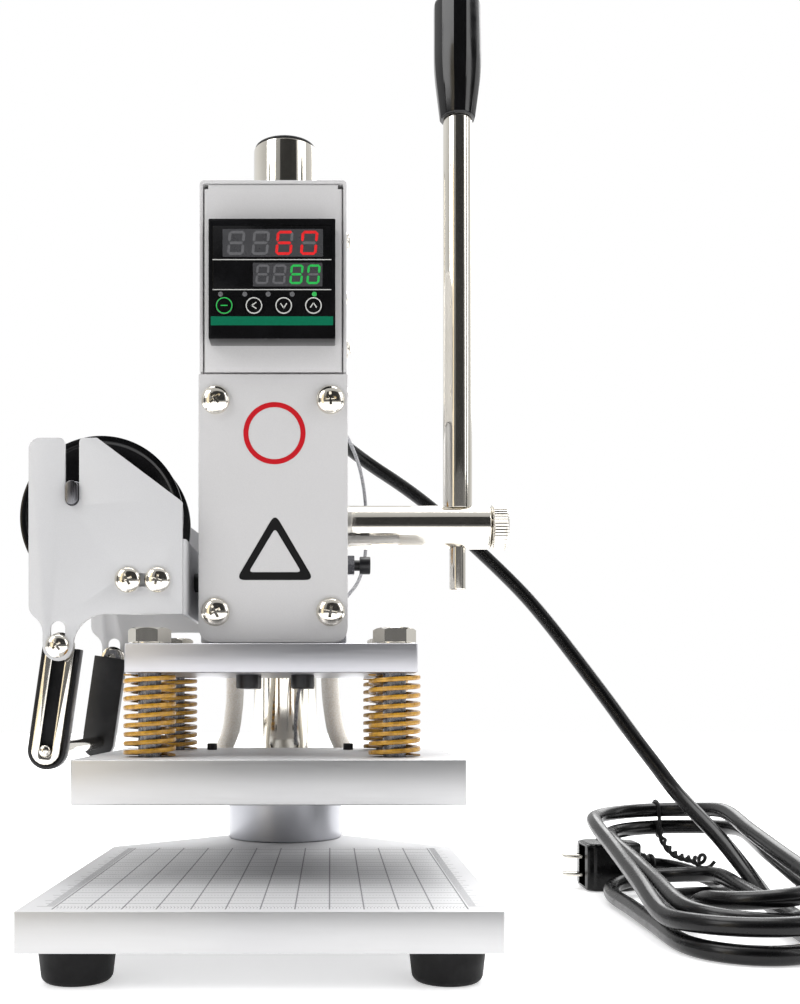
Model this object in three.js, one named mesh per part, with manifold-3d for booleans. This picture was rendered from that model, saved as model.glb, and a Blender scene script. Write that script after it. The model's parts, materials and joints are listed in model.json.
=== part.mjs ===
// Hand-operated hot foil stamper: a base with a column, a sliding head with a rack-driven ram,
// a sprung heating plate, a temperature controller, a foil holder and a mains cord.
// Millimetres, +Z up, the operator stands on the -Y side. Drawn with X = 0 on the machine's centre
// plane, Y = 0 at the front edge of the base and Z = 0 on the table, then moved so that the origin
// is the bottom centre of the object's box.
import * as THREE from "three";
import { mergeVertices } from "three/addons/utils/BufferGeometryUtils.js";
import Module from "manifold-3d";

const wasm = await Module();
wasm.setup();

// ---------- driving dimensions ----------
const GAP = 0.3; // between touching pieces

const FOOT = { x: 55, front: 15, rear: 139, height: 11, topRadius: 11.5, bottomRadius: 10.5 };
const BASE = { halfWidth: 70, depth: 154, neckHalf: 26, rear: 218, bottom: 11, top: 23, edge: 1 };
const COLUMN = { y: 191, radius: 14, bore: 10.7, top: 330, collarRadius: 25, collarTop: 53 };
const CLAMP = { y: 222, z: 150, rear: 228, half: 9, radius: 3, head: 4.5 };
const WIRE_HOLE = { x: [-20, 20], y: 158, radius: 3 }; // heater leads up into the controller

const HEAD = { half: 26, front: 84, bottom: 104, top: 199.3 };
const COVER = { front: 80, half: 26.4, top: 199, corner: 6, screwX: 20.3, screwZ: [114.8, 189.7] };
const RAM = { half: 15, front: 90, bottom: 103.3, top: 188 };
const RAM_SCREW = { x: [-10, 10], y: 95, radius: 2.6 };
const GIB = { y: 105, z: 134.2, radius: 2, headRadius: 3.3, end: 35.2 };
const PLATE_UP = { half: 50, front: 65, rear: 145, bottom: 93, top: 103 };
const PLATE_HOT = { half: 65, front: 50, rear: 160, bottom: 49, top: 64, edge: 1 };
const BOLT = { x: 42.5, y: [73, 138], radius: 4, flats: 13, head: 5.3, tip: 52 };
const SPRING = { outer: 9, wire: 2.6, thick: 1.5, coils: 9, segments: 8 };
const HEATER = { x: 27.4, z: 56.5, radius: 5, front: 68, rear: 162 };
const GRUB = { y: 138, radius: 2 };

const GEAR = { module: 1.5, teeth: 15, y: 127, z: 151.8, half: 13, addendum: 1.2, root: 1.6, play: 0.35 };
const SHAFT = { radius: 8.5, journal: 6, end: 82.8, leverX: 70.3, capEnd: 89.6, capRadius: 9 };
const LEVER = { radius: 5.65, stub: 3.15, stubBottom: 127, shoulder: 160.7, top: 312, gripTop: 358.4 };

const BOX = { half: 26, front: 80, rear: 174, bottom: 199.7, top: 267.5, sheet: 1.2 };
const BEZEL = { half: 22, bottom: 208.8, top: 250.5, front: 72 };
const KEY = { radius: 3.1, z: 220.2, x: [-16.5, -6.2, 4.1, 14.4], proud: 0.5, depth: 2 };
const DISPLAY = { half: 20.6, bottom: 225.6, top: 248.2 };

const PANEL = { front: 73, sheet: 1.6, rear: 180.6, left: -84.6, right: -31.2, bottom: 113.6, top: 174.8 };
const SLOT = { x: -69.5, half: 2.5, bottom: 151.1 };
const BRACKET = { web: -31.6, sheet: 1.5, left: -57, top: 140 };
const HOLDER_SCREW = { x: [-50.1, -39.8], z: 125.4, radius: 2.3 };
const SPOOL = { z: 155.6, disc: 32, hub: 12.5, y: [125, 127, 149, 151], bore: 4.8 };
const ARM = { x: -74.5, z: 102.5, lean: 8.2, length: 37, link: 5, plate: 1.5, rail: 6.7, wall: 1.4, depth: 7.3 };

const CORD = { radius: 3.25, exitX: 19, exitZ: 212 };
const COIL = { x: 166, halfX: 35, front: 22, rear: 205, height: 37, band: 24 };
const PLUG = { x0: 133, x1: 158, y0: 179, y1: 202, height: 21, pinLength: 9 };

// ---------- geometry helpers ----------
function box(x0, x1, y0, y1, z0, z1) {
  const shape = new THREE.BoxGeometry(x1 - x0, y1 - y0, z1 - z0);
  return shape.translate((x0 + x1) / 2, (y0 + y1) / 2, (z0 + z1) / 2);
}

// A cylinder from a to b along one axis ("x", "y" or "z"), centred at the other two coordinates.
function rod(axis, radius, a, b, u, v, sides = 24) {
  const shape = new THREE.CylinderGeometry(radius, radius, b - a, sides);
  const middle = (a + b) / 2;
  if (axis === "x") return shape.rotateZ(-Math.PI / 2).translate(middle, u, v);
  if (axis === "y") return shape.translate(u, middle, v);
  return shape.rotateX(Math.PI / 2).translate(u, v, middle);
}

// A turned piece about Z: profile is a list of [radius, z] that starts and ends on the axis or closes.
function turned(profile, x = 0, y = 0, sides = 24) {
  const points = profile.map(([radius, z]) => new THREE.Vector2(radius, z));
  return new THREE.LatheGeometry(points, sides).rotateX(Math.PI / 2).translate(x, y, 0);
}

// A flat outline in XY extruded from z0 to z1.
function extrudeUp(shape, z0, z1, bevel = 0) {
  const options = { depth: z1 - z0 - 2 * bevel, curveSegments: 5, bevelEnabled: bevel > 0 };
  Object.assign(options, { bevelSize: bevel, bevelThickness: bevel, bevelOffset: -bevel, bevelSegments: 1 });
  return new THREE.ExtrudeGeometry(shape, options).translate(0, 0, z0 + bevel);
}

// A flat outline in XZ extruded along +Y from y0 to y1.
function extrudeBack(shape, y0, y1, bevel = 0) {
  return extrudeUp(shape, -y1, -y0, bevel).rotateX(Math.PI / 2);
}

function polygon(points) {
  return new THREE.Shape(points.map(([x, y]) => new THREE.Vector2(x, y)));
}

function roundedRectangle(x0, x1, y0, y1, lower, upper) {
  const shape = new THREE.Shape();
  shape.moveTo(x0 + lower, y0);
  shape.lineTo(x1 - lower, y0);
  if (lower) shape.absarc(x1 - lower, y0 + lower, lower, -Math.PI / 2, 0);
  shape.lineTo(x1, y1 - upper);
  if (upper) shape.absarc(x1 - upper, y1 - upper, upper, 0, Math.PI / 2);
  shape.lineTo(x0 + upper, y1);
  if (upper) shape.absarc(x0 + upper, y1 - upper, upper, Math.PI / 2, Math.PI);
  shape.lineTo(x0, y0 + lower);
  if (lower) shape.absarc(x0 + lower, y0 + lower, lower, Math.PI, 1.5 * Math.PI);
  return shape;
}

function toManifold(geometry) {
  const bare = geometry.clone();
  bare.deleteAttribute("normal");
  bare.deleteAttribute("uv");
  const merged = mergeVertices(bare, 1e-4);
  const vertProperties = new Float32Array(merged.attributes.position.array);
  const triVerts = new Uint32Array(merged.index.array);
  return new wasm.Manifold(new wasm.Mesh({ numProp: 3, vertProperties, triVerts }));
}

function fromManifold(body) {
  const mesh = body.getMesh();
  const geometry = new THREE.BufferGeometry();
  geometry.setAttribute("position", new THREE.BufferAttribute(mesh.vertProperties, 3));
  geometry.setIndex(new THREE.BufferAttribute(mesh.triVerts, 1));
  return geometry;
}

function cut(geometry, ...tools) {
  return fromManifold(tools.reduce((body, tool) => body.subtract(toManifold(tool)), toManifold(geometry)));
}

function join(geometry, ...others) {
  return fromManifold(others.reduce((body, other) => body.add(toManifold(other)), toManifold(geometry)));
}

// The same piece on the other side of the foil holder's middle plane.
function mirrorY(geometry) {
  const middle = (PANEL.front + PANEL.rear) / 2;
  const body = toManifold(geometry).translate([0, -middle, 0]).mirror([0, 1, 0]).translate([0, middle, 0]);
  return fromManifold(body);
}

function tube(points, radius, steps, sides = 8) {
  const path = new THREE.CatmullRomCurve3(points.map((p) => new THREE.Vector3(...p)), false, "centripetal");
  const ring = [];
  for (let side = 0; side < sides; side += 1) {
    const angle = (2 * Math.PI * side) / sides;
    ring.push([radius * Math.cos(angle), radius * Math.sin(angle)]);
  }
  return new THREE.ExtrudeGeometry(polygon(ring), { steps, extrudePath: path, bevelEnabled: false });
}

// ---------- scene graph ----------
const group = new THREE.Group();

const FINISH = {
  aluminium: { color: 0xd9dadc, roughness: 0.35, metalness: 1 },
  chrome: { color: 0xe6e2d8, roughness: 0.08, metalness: 1 },
  steel: { color: 0x8c8c90, roughness: 0.35, metalness: 1 },
  blackSteel: { color: 0x151517, roughness: 0.5, metalness: 0.6 },
  paint: { color: 0xcfcfd2, roughness: 0.5, metalness: 0 },
  blackPlastic: { color: 0x0b0b0c, roughness: 0.25, metalness: 0 },
  rubber: { color: 0x141414, roughness: 0.8, metalness: 0 },
  spring: { color: 0xc99a2e, roughness: 0.4, metalness: 0.2 },
  window: { color: 0x2c2c2e, roughness: 0.15, metalness: 0 },
  brass: { color: 0xb08d4a, roughness: 0.3, metalness: 1 },
  sleeve: { color: 0xeeeae0, roughness: 0.7, metalness: 0 },
};

function add(name, geometry, finish, parent = group) {
  const mesh = new THREE.Mesh(geometry, new THREE.MeshStandardMaterial(FINISH[finish]));
  mesh.name = name;
  parent.add(mesh);
  return mesh;
}

// ---------- base and column ----------
function foot(x, y) {
  const { height, topRadius, bottomRadius } = FOOT;
  const recess = 4;
  const profile = [
    [0, recess], [4.5, recess], [4.5, 0], [bottomRadius - 1.5, 0], [bottomRadius, 1.5],
    [topRadius, height - GAP], [0, height - GAP],
  ];
  return turned(profile, x, y);
}

function basePlate() {
  const { halfWidth, depth, neckHalf, rear, bottom, top, edge } = BASE;
  const cutEnd = depth + halfWidth - neckHalf;
  const outline = polygon([
    [-halfWidth, 0], [halfWidth, 0], [halfWidth, depth], [neckHalf, cutEnd], [neckHalf, rear],
    [-neckHalf, rear], [-neckHalf, cutEnd], [-halfWidth, depth],
  ]);
  return extrudeUp(outline, bottom, top, edge);
}

function columnParts() {
  const { y, radius, bore, top, collarRadius, collarTop } = COLUMN;
  const floor = BASE.top + GAP;
  const collarBore = radius + GAP;
  const collar = [
    [collarBore, floor], [collarRadius, floor], [collarRadius, collarTop - 1],
    [collarRadius - 1, collarTop], [collarBore, collarTop], [collarBore, floor],
  ];
  add("column_collar", turned(collar, 0, y, 28), "aluminium");
  const wall = [[bore, floor], [radius, floor], [radius, top], [bore, top], [bore, floor]];
  add("column_tube", turned(wall, 0, y, 28), "chrome");
  const stem = bore - GAP;
  const cap = [[0, top - 9], [stem, top - 9], [stem, top + GAP], [radius - 0.6, top + GAP],
    [radius - 0.6, top + 1], [radius - 1.2, top + 1.6], [0, top + 1.6]];
  add("column_cap", turned(cap, 0, y, 28), "blackPlastic");
}

for (const [side, x] of [["left", -FOOT.x], ["right", FOOT.x]]) {
  add(`foot_front_${side}`, foot(x, FOOT.front), "rubber");
  add(`foot_rear_${side}`, foot(x, FOOT.rear), "rubber");
}
add("base_plate", basePlate(), "aluminium");
columnParts();

// ---------- head ----------
const pitchRadius = (GEAR.module * GEAR.teeth) / 2;

function wireHoles(low, high) {
  return WIRE_HOLE.x.map((x) => rod("z", WIRE_HOLE.radius, low, high, x, WIRE_HOLE.y, 12));
}

function headBody() {
  const { half, front, bottom, top } = HEAD;
  const outline = new THREE.Shape();
  outline.moveTo(-half, front);
  outline.lineTo(half, front);
  outline.lineTo(half, COLUMN.y);
  outline.absarc(0, COLUMN.y, half, 0, Math.PI);
  outline.lineTo(-half, front);
  const lugs = box(-CLAMP.half, CLAMP.half, COLUMN.y + 20, CLAMP.rear, bottom + 12, top - 12);
  const ramBottom = RAM.front - GAP;
  const ramTop = GEAR.y - pitchRadius + GEAR.addendum + 0.5;
  return cut(
    join(extrudeUp(outline, bottom, top), lugs),
    rod("z", COLUMN.radius + GAP, bottom - 1, top + 1, 0, COLUMN.y, 28),
    box(-1, 1, COLUMN.y + COLUMN.radius - 1, COLUMN.y + 40, bottom - 1, top + 1),
    box(-RAM.half - GAP, RAM.half + GAP, ramBottom, ramTop, bottom - 1, top + 1),
    rod("x", 13.2, -GEAR.half - 0.6, half + 1, GEAR.y, GEAR.z),
    rod("x", SHAFT.journal + GAP, -half - 1, 0, GEAR.y, GEAR.z),
    rod("x", GIB.radius + GAP, RAM.half, half + 1, GIB.y, GIB.z, 12),
    ...wireHoles(bottom - 1, top + 1),
    rod("x", CLAMP.radius + 0.4, -12, 12, CLAMP.y, CLAMP.z, 12),
    ...COVER.screwZ.flatMap((z) => [-1, 1].map((side) =>
      rod("y", 2.3, front - 1, front + 5, side * COVER.screwX, z, 12))),
  );
}

function frontCover() {
  const { front, half, top, corner, screwX, screwZ } = COVER;
  const outline = roundedRectangle(-half, half, HEAD.bottom, top, corner, 0);
  const holes = screwZ.flatMap((z) => [-1, 1].map((side) =>
    rod("y", 2.4, front - 1, HEAD.front + 1, side * screwX, z, 12)));
  return cut(extrudeBack(outline, front, HEAD.front - GAP, 0.5), ...holes);
}

// A pan-head screw that points along +Y, its head's flat underside at y.
function panScrew(x, y, z, headRadius, headHeight, shank, length) {
  const profile = [
    [0, -headHeight], [headRadius * 0.6, -headHeight * 0.9], [headRadius * 0.92, -headHeight * 0.5],
    [headRadius, 0], [shank, 0], [shank, length], [0, length],
  ];
  return turned(profile, 0, 0, 16).rotateX(-Math.PI / 2).translate(x, y, z);
}

function clampScrew() {
  const { y, z, half, radius, head } = CLAMP;
  const cap = rod("x", head, half + GAP, half + 6, y, z, 16);
  return join(cap, rod("x", radius, -half - 3, half + 1, y, z, 12));
}

function pinionBush() {
  const inner = HEAD.half - 11;
  return cut(
    rod("x", 12.9, inner, HEAD.half, GEAR.y, GEAR.z, 32),
    rod("x", SHAFT.radius + GAP, inner - 1, HEAD.half + 1, GEAR.y, GEAR.z, 32),
  );
}

function gibScrew() {
  const { y, z, radius, headRadius, end } = GIB;
  const cap = rod("x", headRadius, end - 4, end, y, z, 16);
  return join(cap, rod("x", radius, RAM.half + 2 * GAP, end - 3.5, y, z, 12));
}

add("head_body", headBody(), "aluminium");
add("front_cover", frontCover(), "paint");
for (const [row, z] of [["lower", COVER.screwZ[0]], ["upper", COVER.screwZ[1]]]) {
  for (const [side, sign] of [["left", -1], ["right", 1]]) {
    const screw = panScrew(sign * COVER.screwX, COVER.front - GAP, z, 5.2, 3.3, 2, 7.5);
    add(`cover_screw_${row}_${side}`, screw, "chrome");
  }
}
add("clamp_screw", clampScrew(), "blackSteel");
add("pinion_bush", pinionBush(), "brass");
add("gib_screw", gibScrew(), "blackSteel");

// ---------- ram, rack and plates ----------
function rackTooth(z) {
  const pitchY = GEAR.y - pitchRadius;
  const slope = Math.tan((20 * Math.PI) / 180);
  const halfPitch = (Math.PI * GEAR.module) / 4 - GEAR.play / 2;
  const tipY = pitchY + GEAR.addendum;
  const rootY = pitchY - GEAR.root - 0.4;
  const tip = halfPitch - slope * (tipY - pitchY);
  const root = halfPitch + slope * (pitchY - rootY);
  const shape = polygon([[rootY, z - root], [tipY, z - tip], [tipY, z + tip], [rootY, z + root]]);
  const tooth = extrudeUp(shape, -GEAR.half + 1, GEAR.half - 1);
  return tooth.rotateX(Math.PI / 2).rotateZ(Math.PI / 2);
}

function ramScrewHoles(low, high) {
  return RAM_SCREW.x.map((x) => rod("z", RAM_SCREW.radius, low, high, x, RAM_SCREW.y, 12));
}

function ramRack() {
  const { half, front, bottom, top } = RAM;
  const rear = GEAR.y - pitchRadius - GEAR.root;
  const pitch = Math.PI * GEAR.module;
  const teeth = [];
  for (let step = -3; step <= 6; step += 1) teeth.push(rackTooth(GEAR.z + (step + 0.5) * pitch));
  const screwHoles = ramScrewHoles(bottom - 1, bottom + 12);
  return cut(join(box(-half, half, front, rear, bottom, top), ...teeth), ...screwHoles);
}

function upperPlate() {
  const { half, front, rear, bottom, top } = PLATE_UP;
  const outline = polygon([[-half, front], [half, front], [half, rear], [-half, rear]]);
  const holes = BOLT.y.flatMap((y) => [-1, 1].map((side) =>
    rod("z", BOLT.radius + 0.35, bottom - 1, top + 1, side * BOLT.x, y, 16)));
  return cut(extrudeUp(outline, bottom, top, 0.5), ...holes, ...ramScrewHoles(bottom - 1, top + 1));
}

function heatingPlate() {
  const { half, front, rear, bottom, top, edge } = PLATE_HOT;
  const outline = polygon([[-half, front], [half, front], [half, rear], [-half, rear]]);
  const boltHoles = BOLT.y.flatMap((y) => [-1, 1].map((side) =>
    rod("z", BOLT.radius + GAP, BOLT.tip - 0.6, top + 1, side * BOLT.x, y, 16)));
  const heaterHoles = [-1, 1].map((side) =>
    rod("y", HEATER.radius + GAP, HEATER.front - 1, rear + 1, side * HEATER.x, HEATER.z, 20));
  const setHoles = [-1, 1].map((side) =>
    rod("z", GRUB.radius, HEATER.z, top + 1, side * HEATER.x, GRUB.y, 12));
  return cut(extrudeUp(outline, bottom, top, edge), ...boltHoles, ...heaterHoles, ...setHoles);
}

function guideBolt(x, y) {
  const corner = BOLT.flats / Math.sqrt(3);
  const head = new THREE.CylinderGeometry(corner, corner, BOLT.head, 6);
  head.rotateX(Math.PI / 2).rotateZ(Math.PI / 6).translate(x, y, PLATE_UP.top + GAP + BOLT.head / 2);
  return join(head, rod("z", BOLT.radius, BOLT.tip, PLATE_UP.top + 1, x, y, 16));
}

// A spring of rectangular wire between the plates, its ends turned into flat closing rings.
function dieSpring(x, y) {
  const low = PLATE_HOT.top + GAP;
  const high = PLATE_UP.bottom - GAP;
  const radius = SPRING.outer - SPRING.wire / 2;
  const half = SPRING.wire / 2;
  const steps = SPRING.coils * SPRING.segments;
  const flat = SPRING.thick / 2;
  const corners = [];
  for (let step = 0; step <= steps; step += 1) {
    const angle = (2 * Math.PI * step) / SPRING.segments;
    const z = low + flat + (step / steps) * (high - low - SPRING.thick);
    for (const [side, rise] of [[-half, -flat], [half, -flat], [half, flat], [-half, flat]]) {
      corners.push(x + (radius + side) * Math.cos(angle), y + (radius + side) * Math.sin(angle), z + rise);
    }
  }
  const faces = [0, 1, 2, 0, 2, 3];
  for (let step = 0; step < steps; step += 1) {
    for (let corner = 0; corner < 4; corner += 1) {
      const a = step * 4 + corner;
      const b = step * 4 + ((corner + 1) % 4);
      faces.push(a, a + 4, b, b, a + 4, b + 4);
    }
  }
  const last = steps * 4;
  faces.push(last, last + 2, last + 1, last, last + 3, last + 2);
  const geometry = new THREE.BufferGeometry();
  geometry.setAttribute("position", new THREE.Float32BufferAttribute(corners, 3));
  geometry.setIndex(faces);
  return geometry;
}

function cartridgeHeater(x) {
  return rod("y", HEATER.radius, HEATER.front, HEATER.rear, x, HEATER.z, 20);
}

// A sleeved lead that stands up behind the heating plate and ends under the head.
function heaterLead(side) {
  const x = side * HEATER.x;
  const points = [
    [x, 166, 70], [x, 166.5, 76], [side * 26, 166, 83], [side * 23, 163, 91], [side * 20.5, 159.5, 98],
    [side * WIRE_HOLE.x[1], WIRE_HOLE.y, 103.4],
  ];
  return tube(points, 2, 16, 8);
}

add("ram_rack", ramRack(), "steel");
add("upper_plate", upperPlate(), "aluminium");
add("heating_plate", heatingPlate(), "aluminium");
for (const [side, sign] of [["left", -1], ["right", 1]]) {
  for (const [row, y] of [["front", BOLT.y[0]], ["rear", BOLT.y[1]]]) {
    add(`guide_bolt_${row}_${side}`, guideBolt(sign * BOLT.x, y), "steel");
    add(`die_spring_${row}_${side}`, dieSpring(sign * BOLT.x, y), "spring");
  }
  add(`cartridge_heater_${side}`, cartridgeHeater(sign * HEATER.x), "steel");
  add(`heater_lead_${side}`, heaterLead(sign), "sleeve");
}

// ---------- lever and pinion ----------
// Involute pinion outline with thinned teeth, one tooth centred on the angle facing.
function pinionOutline(facing) {
  const base = pitchRadius * Math.cos((20 * Math.PI) / 180);
  const tipRadius = pitchRadius + GEAR.addendum;
  const rootRadius = pitchRadius - GEAR.addendum - 0.5;
  const involute = (radius) => {
    const angle = Math.acos(Math.min(1, base / radius));
    return Math.tan(angle) - angle;
  };
  const halfPitch = Math.PI / (2 * GEAR.teeth) - GEAR.play / (2 * pitchRadius);
  const levels = [0, 0.25, 0.5, 0.75, 1].map((t) => base + 0.02 + t * (tipRadius - base - 0.02));
  const points = [];
  for (let tooth = 0; tooth < GEAR.teeth; tooth += 1) {
    const centre = facing + (2 * Math.PI * tooth) / GEAR.teeth;
    const flank = levels.map((radius) => [radius, halfPitch + involute(pitchRadius) - involute(radius)]);
    const rootHalf = flank[0][1];
    const side = [[rootRadius, rootHalf], ...flank];
    for (const [radius, half] of side) points.push([radius, centre - half]);
    for (const [radius, half] of side.reverse()) points.push([radius, centre + half]);
  }
  return polygon(points.map(([radius, angle]) => [radius * Math.cos(angle), radius * Math.sin(angle)]));
}

function pinionShaft() {
  const width = GEAR.half;
  const gear = extrudeUp(pinionOutline(Math.PI), -width, width);
  gear.rotateX(Math.PI / 2).rotateZ(Math.PI / 2).translate(0, GEAR.y, GEAR.z);
  const { radius, journal, end, leverX } = SHAFT;
  return cut(
    join(gear, rod("x", radius, width - 1, end, GEAR.y, GEAR.z, 32),
      rod("x", journal, -HEAD.half, -width + 1, GEAR.y, GEAR.z, 24),
      rod("x", 4, end - 1, end + 3, GEAR.y, GEAR.z, 16)),
    rod("z", LEVER.stub + 0.25, GEAR.z - 12, GEAR.z + 12, leverX, GEAR.y, 20),
  );
}

function leverRod() {
  const { radius, stub, stubBottom, shoulder, top } = LEVER;
  const profile = [
    [0, stubBottom], [stub, stubBottom], [stub, shoulder], [radius, shoulder], [radius, top - GAP],
    [3.5, top - GAP], [3.5, top + 14], [0, top + 14],
  ];
  return turned(profile, SHAFT.leverX, GEAR.y, 24);
}

function leverGrip() {
  const { top, gripTop } = LEVER;
  const profile = [[3.9, top], [7, top], [9.5, top + 20], [9.5, gripTop - 2], [7.5, gripTop], [0, gripTop],
    [0, top + 14.4], [3.9, top + 14.4], [3.9, top]];
  return turned(profile, SHAFT.leverX, GEAR.y, 16);
}

function leverCap() {
  const start = SHAFT.end + 0.7;
  return cut(
    rod("x", SHAFT.capRadius, start, SHAFT.capEnd, GEAR.y, GEAR.z, 32),
    rod("x", 4.3, start - 1, SHAFT.end + 3.4, GEAR.y, GEAR.z, 16),
  );
}

add("pinion_shaft", pinionShaft(), "chrome");
add("lever_rod", leverRod(), "chrome");
add("lever_grip", leverGrip(), "blackPlastic");
add("lever_cap", leverCap(), "chrome");

// ---------- temperature controller ----------
function controllerTray() {
  const { front, rear, bottom, top, sheet } = BOX;
  const half = BOX.half - sheet - GAP;
  const low = bottom;
  const high = top - sheet - GAP;
  const y0 = front + 0.4;
  const y1 = rear;
  const outer = box(-half, half, y0, y1, low, high);
  const inner = box(-half - 1, half + 1, y0 + sheet, y1 - sheet, low + sheet, high + 1);
  return cut(
    outer, inner,
    box(-21.3, 21.3, y0 - 1, y0 + 3, BEZEL.bottom + 1.2, BEZEL.top - 1.2),
    rod("y", 4.3, y1 - 3, y1 + 1, CORD.exitX, CORD.exitZ, 20),
    ...wireHoles(low - 1, low + 3),
  );
}

function controllerCover() {
  const { half, front, rear, bottom, top, sheet } = BOX;
  const inner = half - sheet;
  const outline = polygon([
    [-half, bottom], [-inner, bottom], [-inner, top - sheet], [inner, top - sheet], [inner, bottom],
    [half, bottom], [half, top], [-half, top],
  ]);
  return extrudeBack(outline, front, rear);
}

function controllerCase() {
  return box(-21, 21, BOX.front + GAP, 150, BEZEL.bottom + 1.5, BEZEL.top - 1.5);
}

function controllerBezel() {
  const { half, bottom, top, front } = BEZEL;
  const outline = roundedRectangle(-half, half, bottom, top, 0, 0);
  const body = extrudeBack(outline, front, BOX.front, 0.8);
  const pocket = box(-DISPLAY.half, DISPLAY.half, front - 1, front + 1, DISPLAY.bottom, DISPLAY.top);
  const keyHoles = KEY.x.map((x) => rod("y", KEY.radius + GAP, front - 1, front + 3.4, x, KEY.z, 20));
  return cut(body, pocket, ...keyHoles);
}

function displayWindow() {
  const { half, bottom, top } = DISPLAY;
  const y0 = BEZEL.front + 0.1;
  return box(-half + GAP, half - GAP, y0, y0 + 0.6, bottom + GAP, top - GAP);
}

function controllerKey(x) {
  const y0 = BEZEL.front - KEY.proud;
  return rod("y", KEY.radius, y0, y0 + KEY.depth, x, KEY.z, 20);
}

// Gland with its tapered strain relief, turned about the cord's exit direction.
function cableGland() {
  const y = BOX.rear;
  const inner = CORD.radius + 0.25;
  const profile = [
    [inner, y - 3.5], [4, y - 3.5], [4, y + GAP], [5.5, y + GAP], [5.5, y + 4], [4.9, y + 5],
    [4.4, y + 32], [inner, y + 32], [inner, y - 3.5],
  ];
  return turned(profile, 0, 0, 16).rotateX(-Math.PI / 2).translate(CORD.exitX, 0, CORD.exitZ);
}

add("controller_tray", controllerTray(), "paint");
add("controller_cover", controllerCover(), "paint");
add("controller_case", controllerCase(), "blackPlastic");
add("controller_bezel", controllerBezel(), "blackPlastic");
add("display_window", displayWindow(), "window");
const keyNames = ["key_set", "key_shift", "key_down", "key_up"];
keyNames.forEach((name, index) => add(name, controllerKey(KEY.x[index]), "blackPlastic"));
add("cable_gland", cableGland(), "blackPlastic");

// ---------- foil holder ----------
function panelOutline() {
  const { left, right, bottom, top } = PANEL;
  const neckHalf = 5.25;
  const neckLeft = ARM.x - neckHalf;
  const neckRight = ARM.x + neckHalf;
  const waist = 11.5;
  const shape = new THREE.Shape();
  shape.moveTo(right, bottom);
  shape.lineTo(right, 152.4);
  shape.lineTo(-32, 153.2);
  shape.lineTo(-60.8, top);
  shape.lineTo(SLOT.x + SLOT.half + 1.5, top);
  shape.quadraticCurveTo(SLOT.x + SLOT.half, top, SLOT.x + SLOT.half, top - 1.5);
  shape.lineTo(SLOT.x + SLOT.half, SLOT.bottom + SLOT.half);
  shape.absarc(SLOT.x, SLOT.bottom + SLOT.half, SLOT.half, 0, -Math.PI, true);
  shape.lineTo(SLOT.x - SLOT.half, top - 2);
  shape.quadraticCurveTo(SLOT.x - SLOT.half, top, SLOT.x - SLOT.half - 2, top);
  shape.lineTo(left + 4, top);
  shape.absarc(left + 4, top - 4, 4, Math.PI / 2, Math.PI);
  shape.lineTo(left, 116.5);
  shape.bezierCurveTo(left, 112, neckLeft, 112.5, neckLeft, 107);
  shape.lineTo(neckLeft, ARM.z);
  shape.absarc(ARM.x, ARM.z, neckHalf, Math.PI, 2 * Math.PI);
  shape.absarc(neckRight + waist, ARM.z - 0.4, waist, Math.PI, Math.PI / 2, true);
  return shape;
}

function slotTool(x0, x1, z0, z1, half) {
  const shape = new THREE.Shape();
  if (x0 === x1) {
    shape.absarc(x0, z0, half, Math.PI, 2 * Math.PI);
    shape.absarc(x1, z1, half, 0, Math.PI);
  } else {
    shape.absarc(x0, z0, half, Math.PI / 2, 1.5 * Math.PI);
    shape.absarc(x1, z1, half, -Math.PI / 2, Math.PI / 2);
  }
  return extrudeBack(shape, PANEL.front - 1, PANEL.front + PANEL.sheet + 1);
}

function foilPanel() {
  const sheet = extrudeBack(panelOutline(), PANEL.front, PANEL.front + PANEL.sheet);
  const { x, z, radius } = HOLDER_SCREW;
  const pivotSlot = slotTool(ARM.x, ARM.x, ARM.z - 0.4, 108.6, 2.6);
  return cut(sheet, pivotSlot, slotTool(x[0], x[1], z, z, radius));
}

function foilBracket() {
  const { web, sheet, left, top } = BRACKET;
  const y0 = PANEL.front + PANEL.sheet + GAP;
  const y1 = PANEL.rear - PANEL.sheet - GAP;
  const right = web + sheet;
  const outline = polygon([
    [left, y0], [right, y0], [right, y1], [left, y1], [left, y1 - sheet], [web, y1 - sheet],
    [web, y0 + sheet], [left, y0 + sheet],
  ]);
  const { z, radius } = HOLDER_SCREW;
  const holes = HOLDER_SCREW.x.flatMap((x) => [
    rod("y", radius, y0 - 1, y0 + 3, x, z, 12), rod("y", radius, y1 - 3, y1 + 1, x, z, 12),
  ]);
  return cut(extrudeUp(outline, PANEL.bottom, top), ...holes);
}

// Spindle with a round body between the panels and flat tongues that hang in the open slots.
function foilSpindle() {
  const inner0 = PANEL.front + PANEL.sheet + GAP;
  const inner1 = PANEL.rear - PANEL.sheet - GAP;
  const half = SLOT.half - GAP;
  const tongue = new THREE.Shape();
  tongue.absarc(SLOT.x, SLOT.bottom + GAP + half, half, Math.PI, 2 * Math.PI);
  tongue.absarc(SLOT.x, SPOOL.z + 2, half, 0, Math.PI);
  return join(
    rod("y", 4.5, inner0, inner1, SLOT.x, SPOOL.z, 20),
    extrudeBack(tongue, PANEL.front - 1.5, PANEL.rear + 1.5),
  );
}

function foilSpool() {
  const [a, b, c, d] = SPOOL.y;
  const { disc, hub, bore } = SPOOL;
  const profile = [
    [bore, a], [disc, a], [disc, b], [hub, b], [hub, c], [disc, c], [disc, d], [bore, d], [bore, a],
  ];
  return turned(profile, 0, 0, 32).rotateX(-Math.PI / 2).translate(SLOT.x, 0, SPOOL.z);
}

const linkFront = PANEL.front + 4;
const railWeb = linkFront + ARM.depth;

// Arm pieces are drawn upright with the pivot at x = z = 0, then leaned outwards about the pivot.
function lean(geometry) {
  return geometry.rotateY((ARM.lean * Math.PI) / 180).translate(ARM.x, 0, ARM.z);
}

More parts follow.
